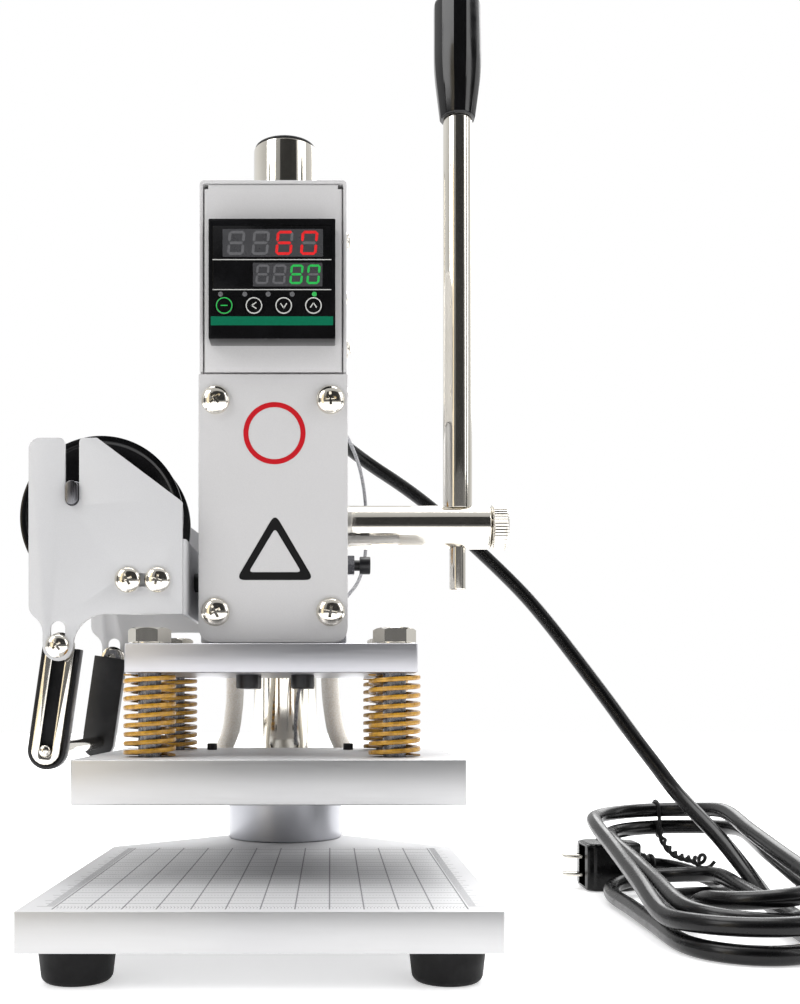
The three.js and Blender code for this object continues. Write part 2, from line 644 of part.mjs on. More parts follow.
function slottedOutline(half, top, bottom) {
  const shape = new THREE.Shape();
  shape.absarc(0, top - half, half, 0, Math.PI);
  shape.absarc(0, bottom + half, half, Math.PI, 2 * Math.PI);
  return shape;
}

function armLink() {
  const shape = slottedOutline(ARM.link, ARM.link, -ARM.length - ARM.link);
  const hole = new THREE.Path();
  hole.absarc(0, 1, 2.2, 0, Math.PI);
  hole.absarc(0, -ARM.length, 2.2, Math.PI, 2 * Math.PI);
  shape.holes.push(hole);
  return lean(extrudeBack(shape, linkFront, linkFront + ARM.plate));
}

function armRail() {
  const { rail, wall, length } = ARM;
  const outer = new THREE.Shape();
  outer.moveTo(rail, 0);
  outer.lineTo(-rail, 0);
  outer.lineTo(-rail, -length);
  outer.absarc(0, -length, rail, Math.PI, 2 * Math.PI);
  const inner = new THREE.Shape();
  inner.moveTo(rail - wall, 1);
  inner.lineTo(-rail + wall, 1);
  inner.lineTo(-rail + wall, -length);
  inner.absarc(0, -length, rail - wall, Math.PI, 2 * Math.PI);
  const start = linkFront + ARM.plate + GAP;
  return lean(cut(
    extrudeBack(outer, start, railWeb),
    extrudeBack(inner, start - 1, railWeb - wall),
    rod("y", 1.8, railWeb - 3, railWeb + 1, 0, -length, 12),
  ));
}

function guideRod() {
  const y0 = railWeb + GAP;
  const y1 = PANEL.front + PANEL.rear - y0;
  const bar = rod("y", 2.6, y0, y1, 0, -ARM.length, 20);
  const end = linkFront - 0.8;
  const pin = rod("y", 1.5, end, PANEL.front + PANEL.rear - end, 0, -ARM.length, 12);
  return lean(join(bar, pin));
}

add("foil_bracket", foilBracket(), "paint");
add("foil_panel_front", foilPanel(), "paint");
add("foil_panel_rear", mirrorY(foilPanel()), "paint");
add("foil_spindle", foilSpindle(), "steel");
add("foil_spool", foilSpool(), "blackPlastic");
add("arm_link_front", armLink(), "chrome");
add("arm_link_rear", mirrorY(armLink()), "chrome");
add("arm_rail_front", armRail(), "blackSteel");
add("arm_rail_rear", mirrorY(armRail()), "blackSteel");
add("guide_rod", guideRod(), "chrome");

// ---------- mains cord ----------
// The free run of the cord from the gland down to the tied hank.
const CORD_ROUTE = [
  [19, 206.4, 212], [19.4, 216, 211.8], [22.5, 226, 210.5], [29.5, 234.5, 206.5], [40, 238.5, 199.5],
  [54.2, 238, 190], [68.5, 235, 178.6], [89.7, 228.5, 158.2], [110.3, 221.5, 136.4], [121.3, 217, 122.5],
  [144, 204, 88.9], [158, 194, 66.5], [166.3, 187, 53.5], [171, 182, 45.5], [172.4, 180.4, 41],
];

function cordHank() {
  const { x, halfX, front, rear, height, band } = COIL;
  const outer = new THREE.Shape();
  outer.absarc(x, front + halfX, halfX, Math.PI, 2 * Math.PI);
  outer.absarc(x, rear - halfX, halfX, 0, Math.PI);
  const slot = new THREE.Path();
  const inner = halfX - band;
  slot.absarc(x, front + halfX, inner, Math.PI, 2 * Math.PI);
  slot.absarc(x, rear - halfX, inner, 0, Math.PI);
  outer.holes.push(slot);
  const plugSpace = box(PLUG.x0 - 5, PLUG.x1 + 8, PLUG.y0 - 1, COIL.rear + 1, -1, PLUG.height + 0.6);
  return cut(extrudeUp(outer, 0, height), plugSpace);
}

function mainsPlug() {
  const { x0, x1, y0, y1, height, pinLength } = PLUG;
  const body = extrudeUp(roundedRectangle(x0, x1, y0, y1, 3, 3), 0, height);
  const neck = rod("x", 5.5, x1 - 2, x1 + 7, (y0 + y1) / 2, 10.5, 16);
  const middle = (y0 + y1) / 2;
  const pins = [6.5, 14.5].map((z) =>
    box(x0 - pinLength, x0 + 1, middle - 3.2, middle + 3.2, z - 0.8, z + 0.8));
  return join(body, neck, ...pins);
}

add("power_cord", tube(CORD_ROUTE, CORD.radius, 40, 8), "blackPlastic");
add("cord_hank", cordHank(), "blackPlastic");
add("mains_plug", mainsPlug(), "blackPlastic");

// ---------- origin at the bottom centre of the object's own box ----------
const CORD_NODES = ["power_cord", "cord_hank", "mains_plug"];
const bounds = new THREE.Box3();
const ownNodes = group.children.filter((mesh) => !CORD_NODES.includes(mesh.name));
ownNodes.forEach((mesh) => bounds.expandByObject(mesh));
const centre = bounds.getCenter(new THREE.Vector3());
group.position.set(-centre.x, -centre.y, -bounds.min.z);

export default group;
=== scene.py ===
"""Looks of a hand-operated hot foil stamper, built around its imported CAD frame.

Everything is drawn in the machine's own millimetres: X = 0 on its centre plane, Y = 0 at the front
edge of the base, Z = 0 on the table. place() turns that into the frame's metres.
"""
import json
import math

import bmesh
import bpy
from mathutils import Matrix, Vector


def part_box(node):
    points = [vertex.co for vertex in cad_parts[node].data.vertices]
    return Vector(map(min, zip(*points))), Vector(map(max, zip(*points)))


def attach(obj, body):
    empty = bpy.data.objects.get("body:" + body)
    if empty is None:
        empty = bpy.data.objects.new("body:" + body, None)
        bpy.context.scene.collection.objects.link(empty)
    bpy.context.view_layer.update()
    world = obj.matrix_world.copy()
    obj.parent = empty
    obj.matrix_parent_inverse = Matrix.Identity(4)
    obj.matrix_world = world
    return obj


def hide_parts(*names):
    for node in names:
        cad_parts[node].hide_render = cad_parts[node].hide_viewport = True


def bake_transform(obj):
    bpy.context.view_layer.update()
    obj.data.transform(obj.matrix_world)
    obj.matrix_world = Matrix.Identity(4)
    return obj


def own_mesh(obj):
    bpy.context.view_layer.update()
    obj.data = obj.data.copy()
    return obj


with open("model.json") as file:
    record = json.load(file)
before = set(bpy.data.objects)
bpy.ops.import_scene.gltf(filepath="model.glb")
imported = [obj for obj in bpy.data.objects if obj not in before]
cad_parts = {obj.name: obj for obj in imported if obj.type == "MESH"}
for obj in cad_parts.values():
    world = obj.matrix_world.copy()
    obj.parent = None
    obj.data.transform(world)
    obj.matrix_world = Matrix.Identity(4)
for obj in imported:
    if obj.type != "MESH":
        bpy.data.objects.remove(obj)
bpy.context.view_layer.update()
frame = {"nodes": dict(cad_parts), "record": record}

MM = 0.001
BASE_LOW, BASE_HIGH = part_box("base_plate")
ORIGIN = Vector(((BASE_LOW.x + BASE_HIGH.x) / 2, BASE_LOW.y, 0))
TO_FRAME = Matrix.Translation(ORIGIN) @ Matrix.Scale(MM, 4)
BODY_OF = {node: body for body, nodes in frame["record"]["behaviour"]["bodies"].items() for node in nodes}


def place(x, y, z):
    """A point in the machine's millimetres, as a point in the frame's metres."""
    return TO_FRAME @ Vector((x, y, z))


def extent(node):
    """Lowest and highest corner of a CAD node, in the machine's millimetres."""
    low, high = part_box(node)
    return (low - ORIGIN) / MM, (high - ORIGIN) / MM


def new_object(name, data):
    obj = bpy.data.objects.new(name, data)
    bpy.context.collection.objects.link(obj)
    return obj


# ---------- camera ----------
def make_camera():
    data = bpy.data.cameras.new("camera")
    data.sensor_width = 36
    data.lens = 41.81
    data.shift_x = 0.0692
    data.shift_y = 0.2032
    data.clip_start = 0.01
    camera = new_object("camera", data)
    camera.location = place(20.3, -332, 81.6)
    camera.rotation_euler = (math.radians(90), 0, 0)
    bpy.context.scene.camera = camera


make_camera()


# ---------- materials ----------
def linear(colour):
    """A 0-255 display colour as linear light, with alpha."""
    parts = [c / 255 for c in colour]
    return tuple(c / 12.92 if c < 0.04045 else ((c + 0.055) / 1.055) ** 2.4 for c in parts) + (1.0,)


def deeper(colour, share):
    return tuple(c * share for c in colour[:3]) + (1.0,)


def add_node(tree, kind, **inputs):
    """A new shader node. An input that is another node's output is linked, any other is set."""
    node = tree.nodes.new("ShaderNode" + kind)
    for name, value in inputs.items():
        socket = node.inputs[name.replace("_", " ")]
        if isinstance(value, bpy.types.NodeSocket):
            tree.links.new(value, socket)
        else:
            socket.default_value = value
    return node


class Surface:
    """A Principled material with a few procedural layers over the object's own coordinates, in metres."""

    def __init__(self, name, colour, metallic=0.0, roughness=0.4, **sockets):
        self.material = bpy.data.materials.new(name)
        self.material.use_nodes = True
        self.tree = self.material.node_tree
        self.shader = self.tree.nodes["Principled BSDF"]
        values = {"Base_Color": colour, "Metallic": metallic, "Roughness": roughness, **sockets}
        for socket, value in values.items():
            self.shader.inputs[socket.replace("_", " ")].default_value = value
        self.coords = add_node(self.tree, "TexCoord").outputs["Object"]
        self.normal = {}

    def drive(self, socket, value):
        self.tree.links.new(value, self.shader.inputs[socket])
        return self

    def noise(self, scale, stretch=(1, 1, 1), detail=3.0, roughness=0.55):
        mapping = add_node(self.tree, "Mapping", Vector=self.coords, Scale=stretch)
        texture = add_node(self.tree, "TexNoise", Vector=mapping.outputs["Vector"], Scale=scale,
                           Detail=detail, Roughness=roughness)
        return texture.outputs["Fac"]

    def spread(self, value, low, high, start=0.3, end=0.7):
        """The value stretched from start..end to low..high."""
        limits = {"From_Min": start, "From_Max": end, "To_Min": low, "To_Max": high}
        return add_node(self.tree, "MapRange", Value=value, **limits).outputs["Result"]

    def vary_roughness(self, value, low, high):
        return self.drive("Roughness", self.spread(value, low, high))

    def vary_colour(self, value, first, second, start=0.3, end=0.7):
        mix = add_node(self.tree, "Mix")
        mix.data_type = "RGBA"
        mix.inputs[6].default_value = first
        mix.inputs[7].default_value = second
        self.tree.links.new(self.spread(value, 0, 1, start, end), mix.inputs[0])
        return self.drive("Base Color", mix.outputs[2])

    def bump(self, value, strength, distance):
        node = add_node(self.tree, "Bump", Strength=strength, Distance=distance, Height=value, **self.normal)
        self.normal = {"Normal": node.outputs["Normal"]}
        return self.drive("Normal", node.outputs["Normal"])


def brushed(name, light, dark, along, roughness=(0.2, 0.38), strength=0.25, metallic=1.0):
    """Brushed metal: long fine streaks along one axis, with a cloudier tone below them."""
    stretch = [1.0, 1.0, 1.0]
    stretch["xyz".index(along)] = 0.02
    surface = Surface(name, light, metallic, roughness[0])
    streaks = surface.noise(2600, stretch, 4)
    surface.vary_colour(surface.noise(14, detail=2), light, dark).vary_roughness(streaks, *roughness)
    return surface.bump(streaks, strength, 0.00003).material


def polished(name, colour, tint, roughness=(0.05, 0.12)):
    """Bright plated metal with faint polishing marks and a slow change of tone."""
    surface = Surface(name, colour, 1.0, roughness[0])
    marks = surface.noise(900, (1, 1, 0.05), 3)
    surface.vary_roughness(marks, *roughness)
    surface.vary_colour(surface.noise(30, detail=2), colour, tint)
    surface.bump(surface.noise(60, detail=1), 0.05, 0.0004)
    return surface.bump(marks, 0.06, 0.00002).material


def painted(name, light, dark, roughness=(0.34, 0.46)):
    """Silver-grey powder coat with a fine orange peel."""
    surface = Surface(name, light, 0.0, roughness[0], Coat_Weight=0.25, Coat_Roughness=0.25)
    surface.vary_colour(surface.noise(3800, detail=1), light, dark, 0.25, 0.75)
    surface.vary_roughness(surface.noise(40, detail=2), *roughness)
    return surface.bump(surface.noise(2400, detail=2), 0.22, 0.00006).material


def moulded(name, colour, worn, roughness=(0.12, 0.22), grain=1400, strength=0.05, gloss=0.5):
    """Black plastic or rubber with a fine grain, faint dust and handling marks."""
    surface = Surface(name, colour, 0.0, roughness[0], Specular_IOR_Level=gloss)
    surface.vary_colour(surface.noise(90, detail=5, roughness=0.7), colour, worn, 0.45, 0.8)
    surface.vary_roughness(surface.noise(160, detail=4), *roughness)
    return surface.bump(surface.noise(grain, detail=2), strength, 0.0001).material


def enamel(name, light, dark):
    """Baked spring enamel, darker in patches spread at random."""
    surface = Surface(name, light, 0.15, 0.3, Coat_Weight=0.4, Coat_Roughness=0.12)
    surface.vary_colour(surface.noise(420, detail=4, roughness=0.65), light, dark, 0.42, 0.78)
    surface.vary_roughness(surface.noise(700, detail=3), 0.24, 0.45)
    return surface.bump(surface.noise(1500, detail=2), 0.12, 0.00008).material


def printed(name, colour, roughness=0.45):
    """Screen-printed ink, a touch uneven."""
    surface = Surface(name, colour, 0.0, roughness, Specular_IOR_Level=0.15)
    return surface.vary_colour(surface.noise(1800, detail=2), colour, deeper(colour, 0.86)).material


def glowing(name, colour):
    """A lit display segment, a little uneven."""
    surface = Surface(name, colour, 0.0, 0.5, Emission_Color=colour, Emission_Strength=0.25)
    return surface.vary_colour(surface.noise(900, detail=1), colour, deeper(colour, 0.8)).material


def braided(name, light, dark):
    """Woven glass-fibre sleeve."""
    surface = Surface(name, light, 0.0, 0.75, Sheen_Weight=0.3)
    weave = add_node(surface.tree, "TexVoronoi", Vector=surface.coords, Scale=1700).outputs["Distance"]
    return surface.vary_colour(weave, light, dark, 0.2, 0.7).bump(weave, 0.5, 0.0002).material


FINISHES = {
    "aluminium_base": (brushed, [(196, 196, 196), (188, 188, 189)], "x", (0.36, 0.44), 0.04),
    "aluminium_plate": (brushed, [(192, 192, 196), (181, 182, 187)], "x", (0.34, 0.42), 0.04),
    # Upper faces: a duller finish, and a lighter tone that is painted light from above.
    "satin_top": (brushed, [(207, 207, 208), (200, 200, 202)], "x", (0.5, 0.6), 0.04, 0.3),
    "cast_head": (brushed, [(196, 197, 200), (182, 183, 187)], "z", (0.34, 0.5), 0.15),
    "steel": (brushed, [(128, 128, 131), (104, 104, 108)], "z", (0.2, 0.34)),
    "chrome": (polished, [(232, 228, 219), (222, 217, 206)]),
    "bush_bronze": (polished, [(190, 152, 96), (166, 128, 74)], (0.2, 0.34)),
    "silver_paint": (painted, [(194, 193, 193), (186, 185, 185)]),
    "white_paint": (painted, [(194, 194, 195), (187, 187, 188)]),
    "black_steel": (moulded, [(20, 20, 22), (36, 36, 39)], (0.3, 0.45), 900, 0.12, 0.4),
    "gloss_black": (moulded, [(10, 10, 11), (17, 17, 19)], (0.08, 0.16), 1400, 0.05, 0.4),
    "matte_black": (moulded, [(16, 16, 17), (28, 28, 30)], (0.45, 0.6), 1200, 0.2, 0.25),
    "display": (moulded, [(58, 58, 60), (63, 63, 65)], (0.25, 0.32), 500, 0.01),
    "cord_black": (moulded, [(6, 6, 7), (13, 13, 14)], (0.2, 0.3), 700, 0.05, 0.3),
    "foot_rubber": (moulded, [(16, 16, 17), (30, 30, 31)], (0.5, 0.68), 1500, 0.35, 0.2),
    "spring_enamel": (enamel, [(196, 146, 40), (128, 86, 24)]),
    "white_sleeve": (braided, [(250, 248, 243), (236, 231, 220)]),
    "sensor_grey": (braided, [(176, 176, 178), (120, 120, 124)]),
    "engraving": (printed, [(134, 134, 137)], 0.6),
    "red_ink": (printed, [(180, 16, 28)], 0.6),
    "black_ink": (printed, [(16, 15, 16)], 0.6),
    "white_ink": (printed, [(188, 188, 184)]),
    "green_ink": (printed, [(4, 98, 70)], 0.4),
    "unlit": (printed, [(92, 92, 94)], 0.3),
    "lit_red": (glowing, [(196, 8, 14)]),
    "lit_green": (glowing, [(16, 156, 62)]),
}
FINISH = {name: maker(name, *map(linear, colours), *options)
          for name, (maker, colours, *options) in FINISHES.items()}


# ---------- mesh helpers ----------
def arc(cx, cy, radius, start, end, steps=10):
    """Points along an arc, angles in degrees."""
    angles = [math.radians(start + (end - start) * step / steps) for step in range(steps + 1)]
    return [(cx + radius * math.cos(angle), cy + radius * math.sin(angle)) for angle in angles]


def soften(points, radius=0.0, steps=4, closed=True):
    """The outline with its corners rounded by radius, or by the third number that a point may have."""
    result = []
    count = len(points)
    for index, point in enumerate(points):
        corner = point[2] if len(point) > 2 else radius
        here = Vector(point[:2])
        if corner <= 0 or (not closed and index in (0, count - 1)):
            result.append(tuple(here))
            continue
        before = Vector(points[index - 1][:2]) - here
        after = Vector(points[(index + 1) % count][:2]) - here
        reach = min(corner, before.length * 0.49, after.length * 0.49)
        first = here + before.normalized() * reach
        last = here + after.normalized() * reach
        for step in range(steps + 1):
            t = step / steps
            result.append(tuple(first * (1 - t) ** 2 + here * 2 * t * (1 - t) + last * t ** 2))
    return result


def rectangle(x0, x1, y0, y1, radius=0.0, steps=4):
    corners = [(x0, y0), (x1, y0), (x1, y1), (x0, y1)]
    return soften(corners, radius, steps) if radius else corners


def lift(axis, u, v, w):
    """A point from an outline's two coordinates and its depth along the axis."""
    return Vector({"x": (w, u, v), "y": (u, w, v), "z": (u, v, w)}[axis])


def stitch(mesh, first, second):
    """Joins two rings of points with faces. Either ring may be a single point."""
    count = max(len(first), len(second))
    for index in range(count if count > 1 else 0):
        corners = ((first, index), (second, index), (second, index + 1), (first, index + 1))
        mesh.faces.new(tuple(dict.fromkeys(ring[spot % len(ring)] for ring, spot in corners)))


def bridge(mesh, rings):
    """Closes the first and the last ring, and joins each ring to the next."""
    mesh.faces.new(rings[0])
    mesh.faces.new(rings[-1][::-1])
    for first, second in zip(rings, rings[1:]):
        stitch(mesh, first, second)


def round_edges(mesh, width, segments=2, angle=30):
    """Rounds every edge that is sharper than the angle."""
    limit = math.radians(angle)
    sharp = [e for e in mesh.edges if e.is_manifold and e.calc_face_angle(0) > limit]
    bmesh.ops.bevel(mesh, geom=sharp, offset=width, segments=segments, profile=0.5, affect="EDGES",
                    clamp_overlap=True)


def prism(axis, outline, start, end, bevel=0.0, segments=2):
    """A flat outline extruded along an axis, its rim rounded by bevel."""
    mesh = bmesh.new()
    bridge(mesh, [[mesh.verts.new(lift(axis, u, v, depth)) for u, v in outline] for depth in (start, end)])
    bmesh.ops.recalc_face_normals(mesh, faces=mesh.faces)
    if bevel:
        round_edges(mesh, bevel, segments)
    return mesh


def block(x0, x1, y0, y1, z0, z1, bevel=0.0, segments=2):
    return prism("z", rectangle(x0, x1, y0, y1), z0, z1, bevel, segments)


def lathe(axis, profile, centre=(0, 0), segments=64, steps=3, shape=None):
    """Turns a profile of (radius, place along the axis), or of (radius, place, corner radius).
    It ends on the axis or closes on itself. shape(angle, radius) may change the radius."""
    if any(len(point) > 2 for point in profile):
        profile = soften(profile, 0, steps, closed=False)
    mesh = bmesh.new()
    rings = []
    for radius, along in profile:
        ring = []
        for index in range(segments if abs(radius) > 1e-6 else 1):
            angle = 2 * math.pi * index / segments
            reach = shape(angle, radius) if shape and radius else radius
            u, v = centre[0] + reach * math.cos(angle), centre[1] + reach * math.sin(angle)
            ring.append(mesh.verts.new(lift(axis, u, v, along)))
        rings.append(ring)
    if len(rings[0]) > 1 or len(rings[-1]) > 1:
        rings.append(rings[0])
    for first, second in zip(rings, rings[1:]):
        stitch(mesh, first, second)
    bmesh.ops.recalc_face_normals(mesh, faces=mesh.faces)
    return mesh


def rod(axis, radius, start, end, centre, edge=0.3, segments=48):
    """A plain round bar with softened ends."""
    return lathe(axis, [(0, start), (radius, start, edge), (radius, end, edge), (0, end)], centre, segments)


def bored(axis, outer, inner, start, end, centre, edge=0.4, segments=64):
    """A ring or tube with softened rims."""
    corners = [(inner, start), (outer, start), (outer, end), (inner, end)]
    return lathe(axis, soften(corners, edge, 3), centre, segments)


def smooth_line(points, spacing):
    """A centripetal Catmull-Rom curve through the points, evenly sampled."""
    knots = [Vector(p) for p in points]
    knots = [knots[0] * 2 - knots[1], *knots, knots[-1] * 2 - knots[-2]]
    dense = []
    for a, b, c, d in zip(knots, knots[1:], knots[2:], knots[3:]):
        t1 = (b - a).length ** 0.5
        t2 = t1 + (c - b).length ** 0.5
        t3 = t2 + (d - c).length ** 0.5
        steps = max(2, int((c - b).length / spacing * 3))
        for step in range(steps):
            t = t1 + (t2 - t1) * step / steps
            ab = a * ((t1 - t) / t1) + b * (t / t1)
            bc = b * ((t2 - t) / (t2 - t1)) + c * ((t - t1) / (t2 - t1))
            cd = c * ((t3 - t) / (t3 - t2)) + d * ((t - t2) / (t3 - t2))
            abc = ab * ((t2 - t) / t2) + bc * (t / t2)
            bcd = bc * ((t3 - t) / (t3 - t1)) + cd * ((t - t1) / (t3 - t1))
            dense.append(abc * ((t2 - t) / (t2 - t1)) + bcd * ((t - t1) / (t2 - t1)))
    dense.append(knots[-2])
    total = sum((q - p).length for p, q in zip(dense, dense[1:]))
    count = max(4, round(total / spacing))
    even, walked, index = [dense[0]], 0.0, 0
    for step in range(1, count):
        target = total * step / count
        while walked + (dense[index + 1] - dense[index]).length < target:
            walked += (dense[index + 1] - dense[index]).length
            index += 1
        part = dense[index + 1] - dense[index]
        even.append(dense[index] + part * ((target - walked) / part.length))
    return [*even, dense[-1]]


def relax(line, rounds):
    """Averages each point with its neighbours, keeping both ends and their directions."""
    for _ in range(rounds):
        middle = [(p + q * 2 + r) / 4 for p, q, r in zip(line[1:], line[2:], line[3:])]
        line = [*line[:2], *middle[:-1], *line[-2:]]
    return line


def tube(line, radius, sides=16, shape=None):
    """A closed round tube along a line. shape(share) scales the radius along it."""
    mesh = bmesh.new()
    rings = []
    normal = (line[1] - line[0]).normalized().orthogonal().normalized()
    for index, point in enumerate(line):
        along = (line[min(index + 1, len(line) - 1)] - line[max(index - 1, 0)]).normalized()
        normal = (normal - along * normal.dot(along)).normalized()
        side = along.cross(normal)
        reach = radius * (shape(index / (len(line) - 1)) if shape else 1)
        ring = [point + (normal * u + side * v) * reach for u, v in arc(0, 0, 1, 0, 360, sides)[:-1]]
        rings.append([mesh.verts.new(spot) for spot in ring])
    bridge(mesh, rings)
    bmesh.ops.recalc_face_normals(mesh, faces=mesh.faces)
    return mesh


def mesh_data(name, mesh):
    """The shape as a Blender mesh. The shape itself is freed."""
    data = bpy.data.meshes.new(name)
    mesh.to_mesh(data)
    mesh.free()
    return data


def joined(*meshes):
    """Several closed shapes as one mesh."""
    result = bmesh.new()
    for mesh in meshes:
        data = mesh_data("part", mesh)
        result.from_mesh(data)
        bpy.data.meshes.remove(data)
    return result


def boolean(mesh, operation, *tools):
    """Cuts or joins shapes with Blender's exact solver."""
    base, *others = [new_object("tool", mesh_data("tool", shape)) for shape in (mesh, *tools)]
    for other in others:
        modifier = base.modifiers.new("boolean", "BOOLEAN")
        modifier.operation = operation
        modifier.solver = "EXACT"
        modifier.object = other
    data = bpy.data.meshes.new_from_object(base.evaluated_get(bpy.context.evaluated_depsgraph_get()))
    result = bmesh.new()
    result.from_mesh(data)
    bmesh.ops.remove_doubles(result, verts=result.verts, dist=1e-4)
    bpy.data.meshes.remove(data)
    for obj in (base, *others):
        bpy.data.objects.remove(obj)
    return result


def cut(mesh, *tools):
    return boolean(mesh, "DIFFERENCE", *tools)


def piece(name, mesh, finish, body, replaces=(), angle=32):
    """A finished piece in the frame's metres, that rides on a body."""
    mesh.transform(TO_FRAME)
    data = mesh_data(name, mesh)
    data.shade_smooth()
    data.set_sharp_from_angle(angle=math.radians(angle))
    data.materials.append(FINISH[finish])
    obj = new_object(name, data)
    if body:
        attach(obj, body)
    if replaces:
        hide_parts(*replaces)
    return obj


def fine(node, mesh, finish, angle=32):
    """The finished piece that stands for one CAD node."""
    return piece(f"{node}_fine", mesh, finish, BODY_OF[node], [node], angle)


def dress(node, finish):
    """Gives a CAD node, which stays, a finish."""
    obj = frame["nodes"][node]
    obj.data.materials.clear()
    obj.data.materials.append(FINISH[finish])
    return obj


def satin_painted_light_above(obj):
    """Gives a plate's upper face the duller finish of a face that was blasted, not machined, in a lighter
    tone that is painted light from above.
    """
    obj.data.materials.append(FINISH["satin_top"])
    for polygon in obj.data.polygons:
        if polygon.normal.z > 0.99:
            polygon.material_index = 1


# ---------- fasteners ----------
def pan_head(radius, height, shank, length):
    """A pan-head screw with a cross recess: the head's flat side at z = 0, the shank below it."""
    crown = [(radius * u, height * (0.12 + 0.88 * v)) for u, v in arc(0, 0, 1, 12, 90, 8)[:-1]]
    profile = [(0, -length), (shank, -length), (shank, 0), (radius * 0.97, 0), *crown, (0, height)]
    arms = []
    for turn in (0, math.pi / 2):
        arm = bmesh.new()
        bmesh.ops.create_cube(arm, size=1)
        arm.transform(Matrix.Rotation(turn, 4, "Z") @ Matrix.Translation((0, 0, height * 0.95))
                      @ Matrix.Diagonal((radius * 1.12, radius * 0.24, height * 1.3, 1)))
        for vert in arm.verts:
            if vert.co.z < height * 0.6:
                vert.co.x *= 0.45
                vert.co.y *= 0.6
        arms.append(arm)
    return cut(lathe("z", profile, segments=40), boolean(arms[0], "UNION", arms[1]))


def socket_head(radius, height, socket, shank, length):
    """A socket cap screw: the head's underside at z = 0, a hexagon socket in its top."""
    profile = [(0, -length), (shank, -length, 0.2), (shank, 0), (radius, 0, 0.2),
               (radius, height, height * 0.12), (0, height)]
    return cut(lathe("z", profile, segments=40), prism("z", hexagon(socket), height * 0.45, height + 1))


def hexagon(corner, centre=(0, 0)):
    return arc(*centre, corner, 0, 300, 5)


def hex_nut(flats, height, bore):
    """A hexagon nut with chamfered corners, its underside at z = 0."""
    corner = flats / math.sqrt(3)
    wide, narrow = corner * 1.02, corner * 0.93
    chamfer = [(0, -0.01), (narrow, -0.01), (wide, height * 0.16), (wide, height * 0.84),
               (narrow, height + 0.01), (0, height + 0.01)]
    body = boolean(prism("z", hexagon(corner), 0, height), "INTERSECT", lathe("z", chamfer, segments=48))
    return cut(body, rod("z", bore, -1, height + 1, (0, 0), 0, 24))


def turned_to(mesh, origin, direction, spin=0.0):
    """A shape drawn about Z at the origin, moved to a place and turned to face a direction."""
    turn = Vector(direction).to_track_quat("Z", "Y").to_matrix().to_4x4()
    mesh.transform(Matrix.Translation(Vector(origin)) @ turn @ Matrix.Rotation(spin, 4, "Z"))
    return mesh


def screw(name, mesh, origin, direction, body, finish="chrome", spin=0.0, replaces=()):
    return piece(name, turned_to(mesh, origin, direction, spin), finish, body, replaces)


FRONT, BACK, LEFT, RIGHT, UP, DOWN = (0, -1, 0), (0, 1, 0), (-1, 0, 0), (1, 0, 0), (0, 0, 1), (0, 0, -1)
SIDES = (("left", -1), ("right", 1))


# ---------- mains cord ----------
CORD_RADIUS = 3.2
CORD_END = (165, 190.5, 10.5)
CORD_ROUTE = [
    (19, 206.4, 212), (19.4, 216, 211.8), (22.5, 226, 210.5), (29.5, 234.5, 206.5), (40, 238.5, 199.5),
    (54.2, 238, 190), (68.5, 235, 178.6), (89.7, 228.5, 158.2), (110.3, 221.5, 136.4), (121.3, 217, 122.5),
    (144, 204, 88.9), (158, 194, 66.5), (166.3, 187, 53.5), (171, 182, 45.5), (176.5, 172, 37),
    (183, 156, 26.5), (187.5, 138, 15.5), (188.5, 118, 7.4), (187, 98, 3.6), (184, 78, 3.3),
]
ON_FLOOR = 3.3
# The hank's long sides in order, right and left by turns: x and height at the rear, then at the front.
HANK_SIDES = [
    (190, 3.6, 181, ON_FLOOR), (136, 4.4, 136.5, ON_FLOOR), (180, 12, 179.5, 9.2), (141, 24.6, 141, 13),
    (197, 28.5, 191, 13.6), (134.5, 31.4, 133.5, 10.6), (190, 36.5, 189, 21.2), (151, ON_FLOOR, 150.5, 14.5),
]
HANK_FRONTS = [33, 48, 34, 54]
HANK_REARS = [170, 199, 200.3]
TAIL_BEND = 19.5
PLUG_PINS, PLUG_NECK = 133, 158  # x of the plug's two ends
NECK_Z = 10.5


def bend(cx, cy, radius, start, end, low, high, steps=6):
    """Points of a flat bend whose height goes from low to high."""
    flat = arc(cx, cy, radius, start, end, steps)
    return [(x, y, low + (high - low) * step / steps) for step, (x, y) in enumerate(flat)]


def straight(start, end):
    """Two points a third and two thirds of the way along one side."""
    return [tuple(Vector(start).lerp(Vector(end), share)) for share in (0.33, 0.67)]


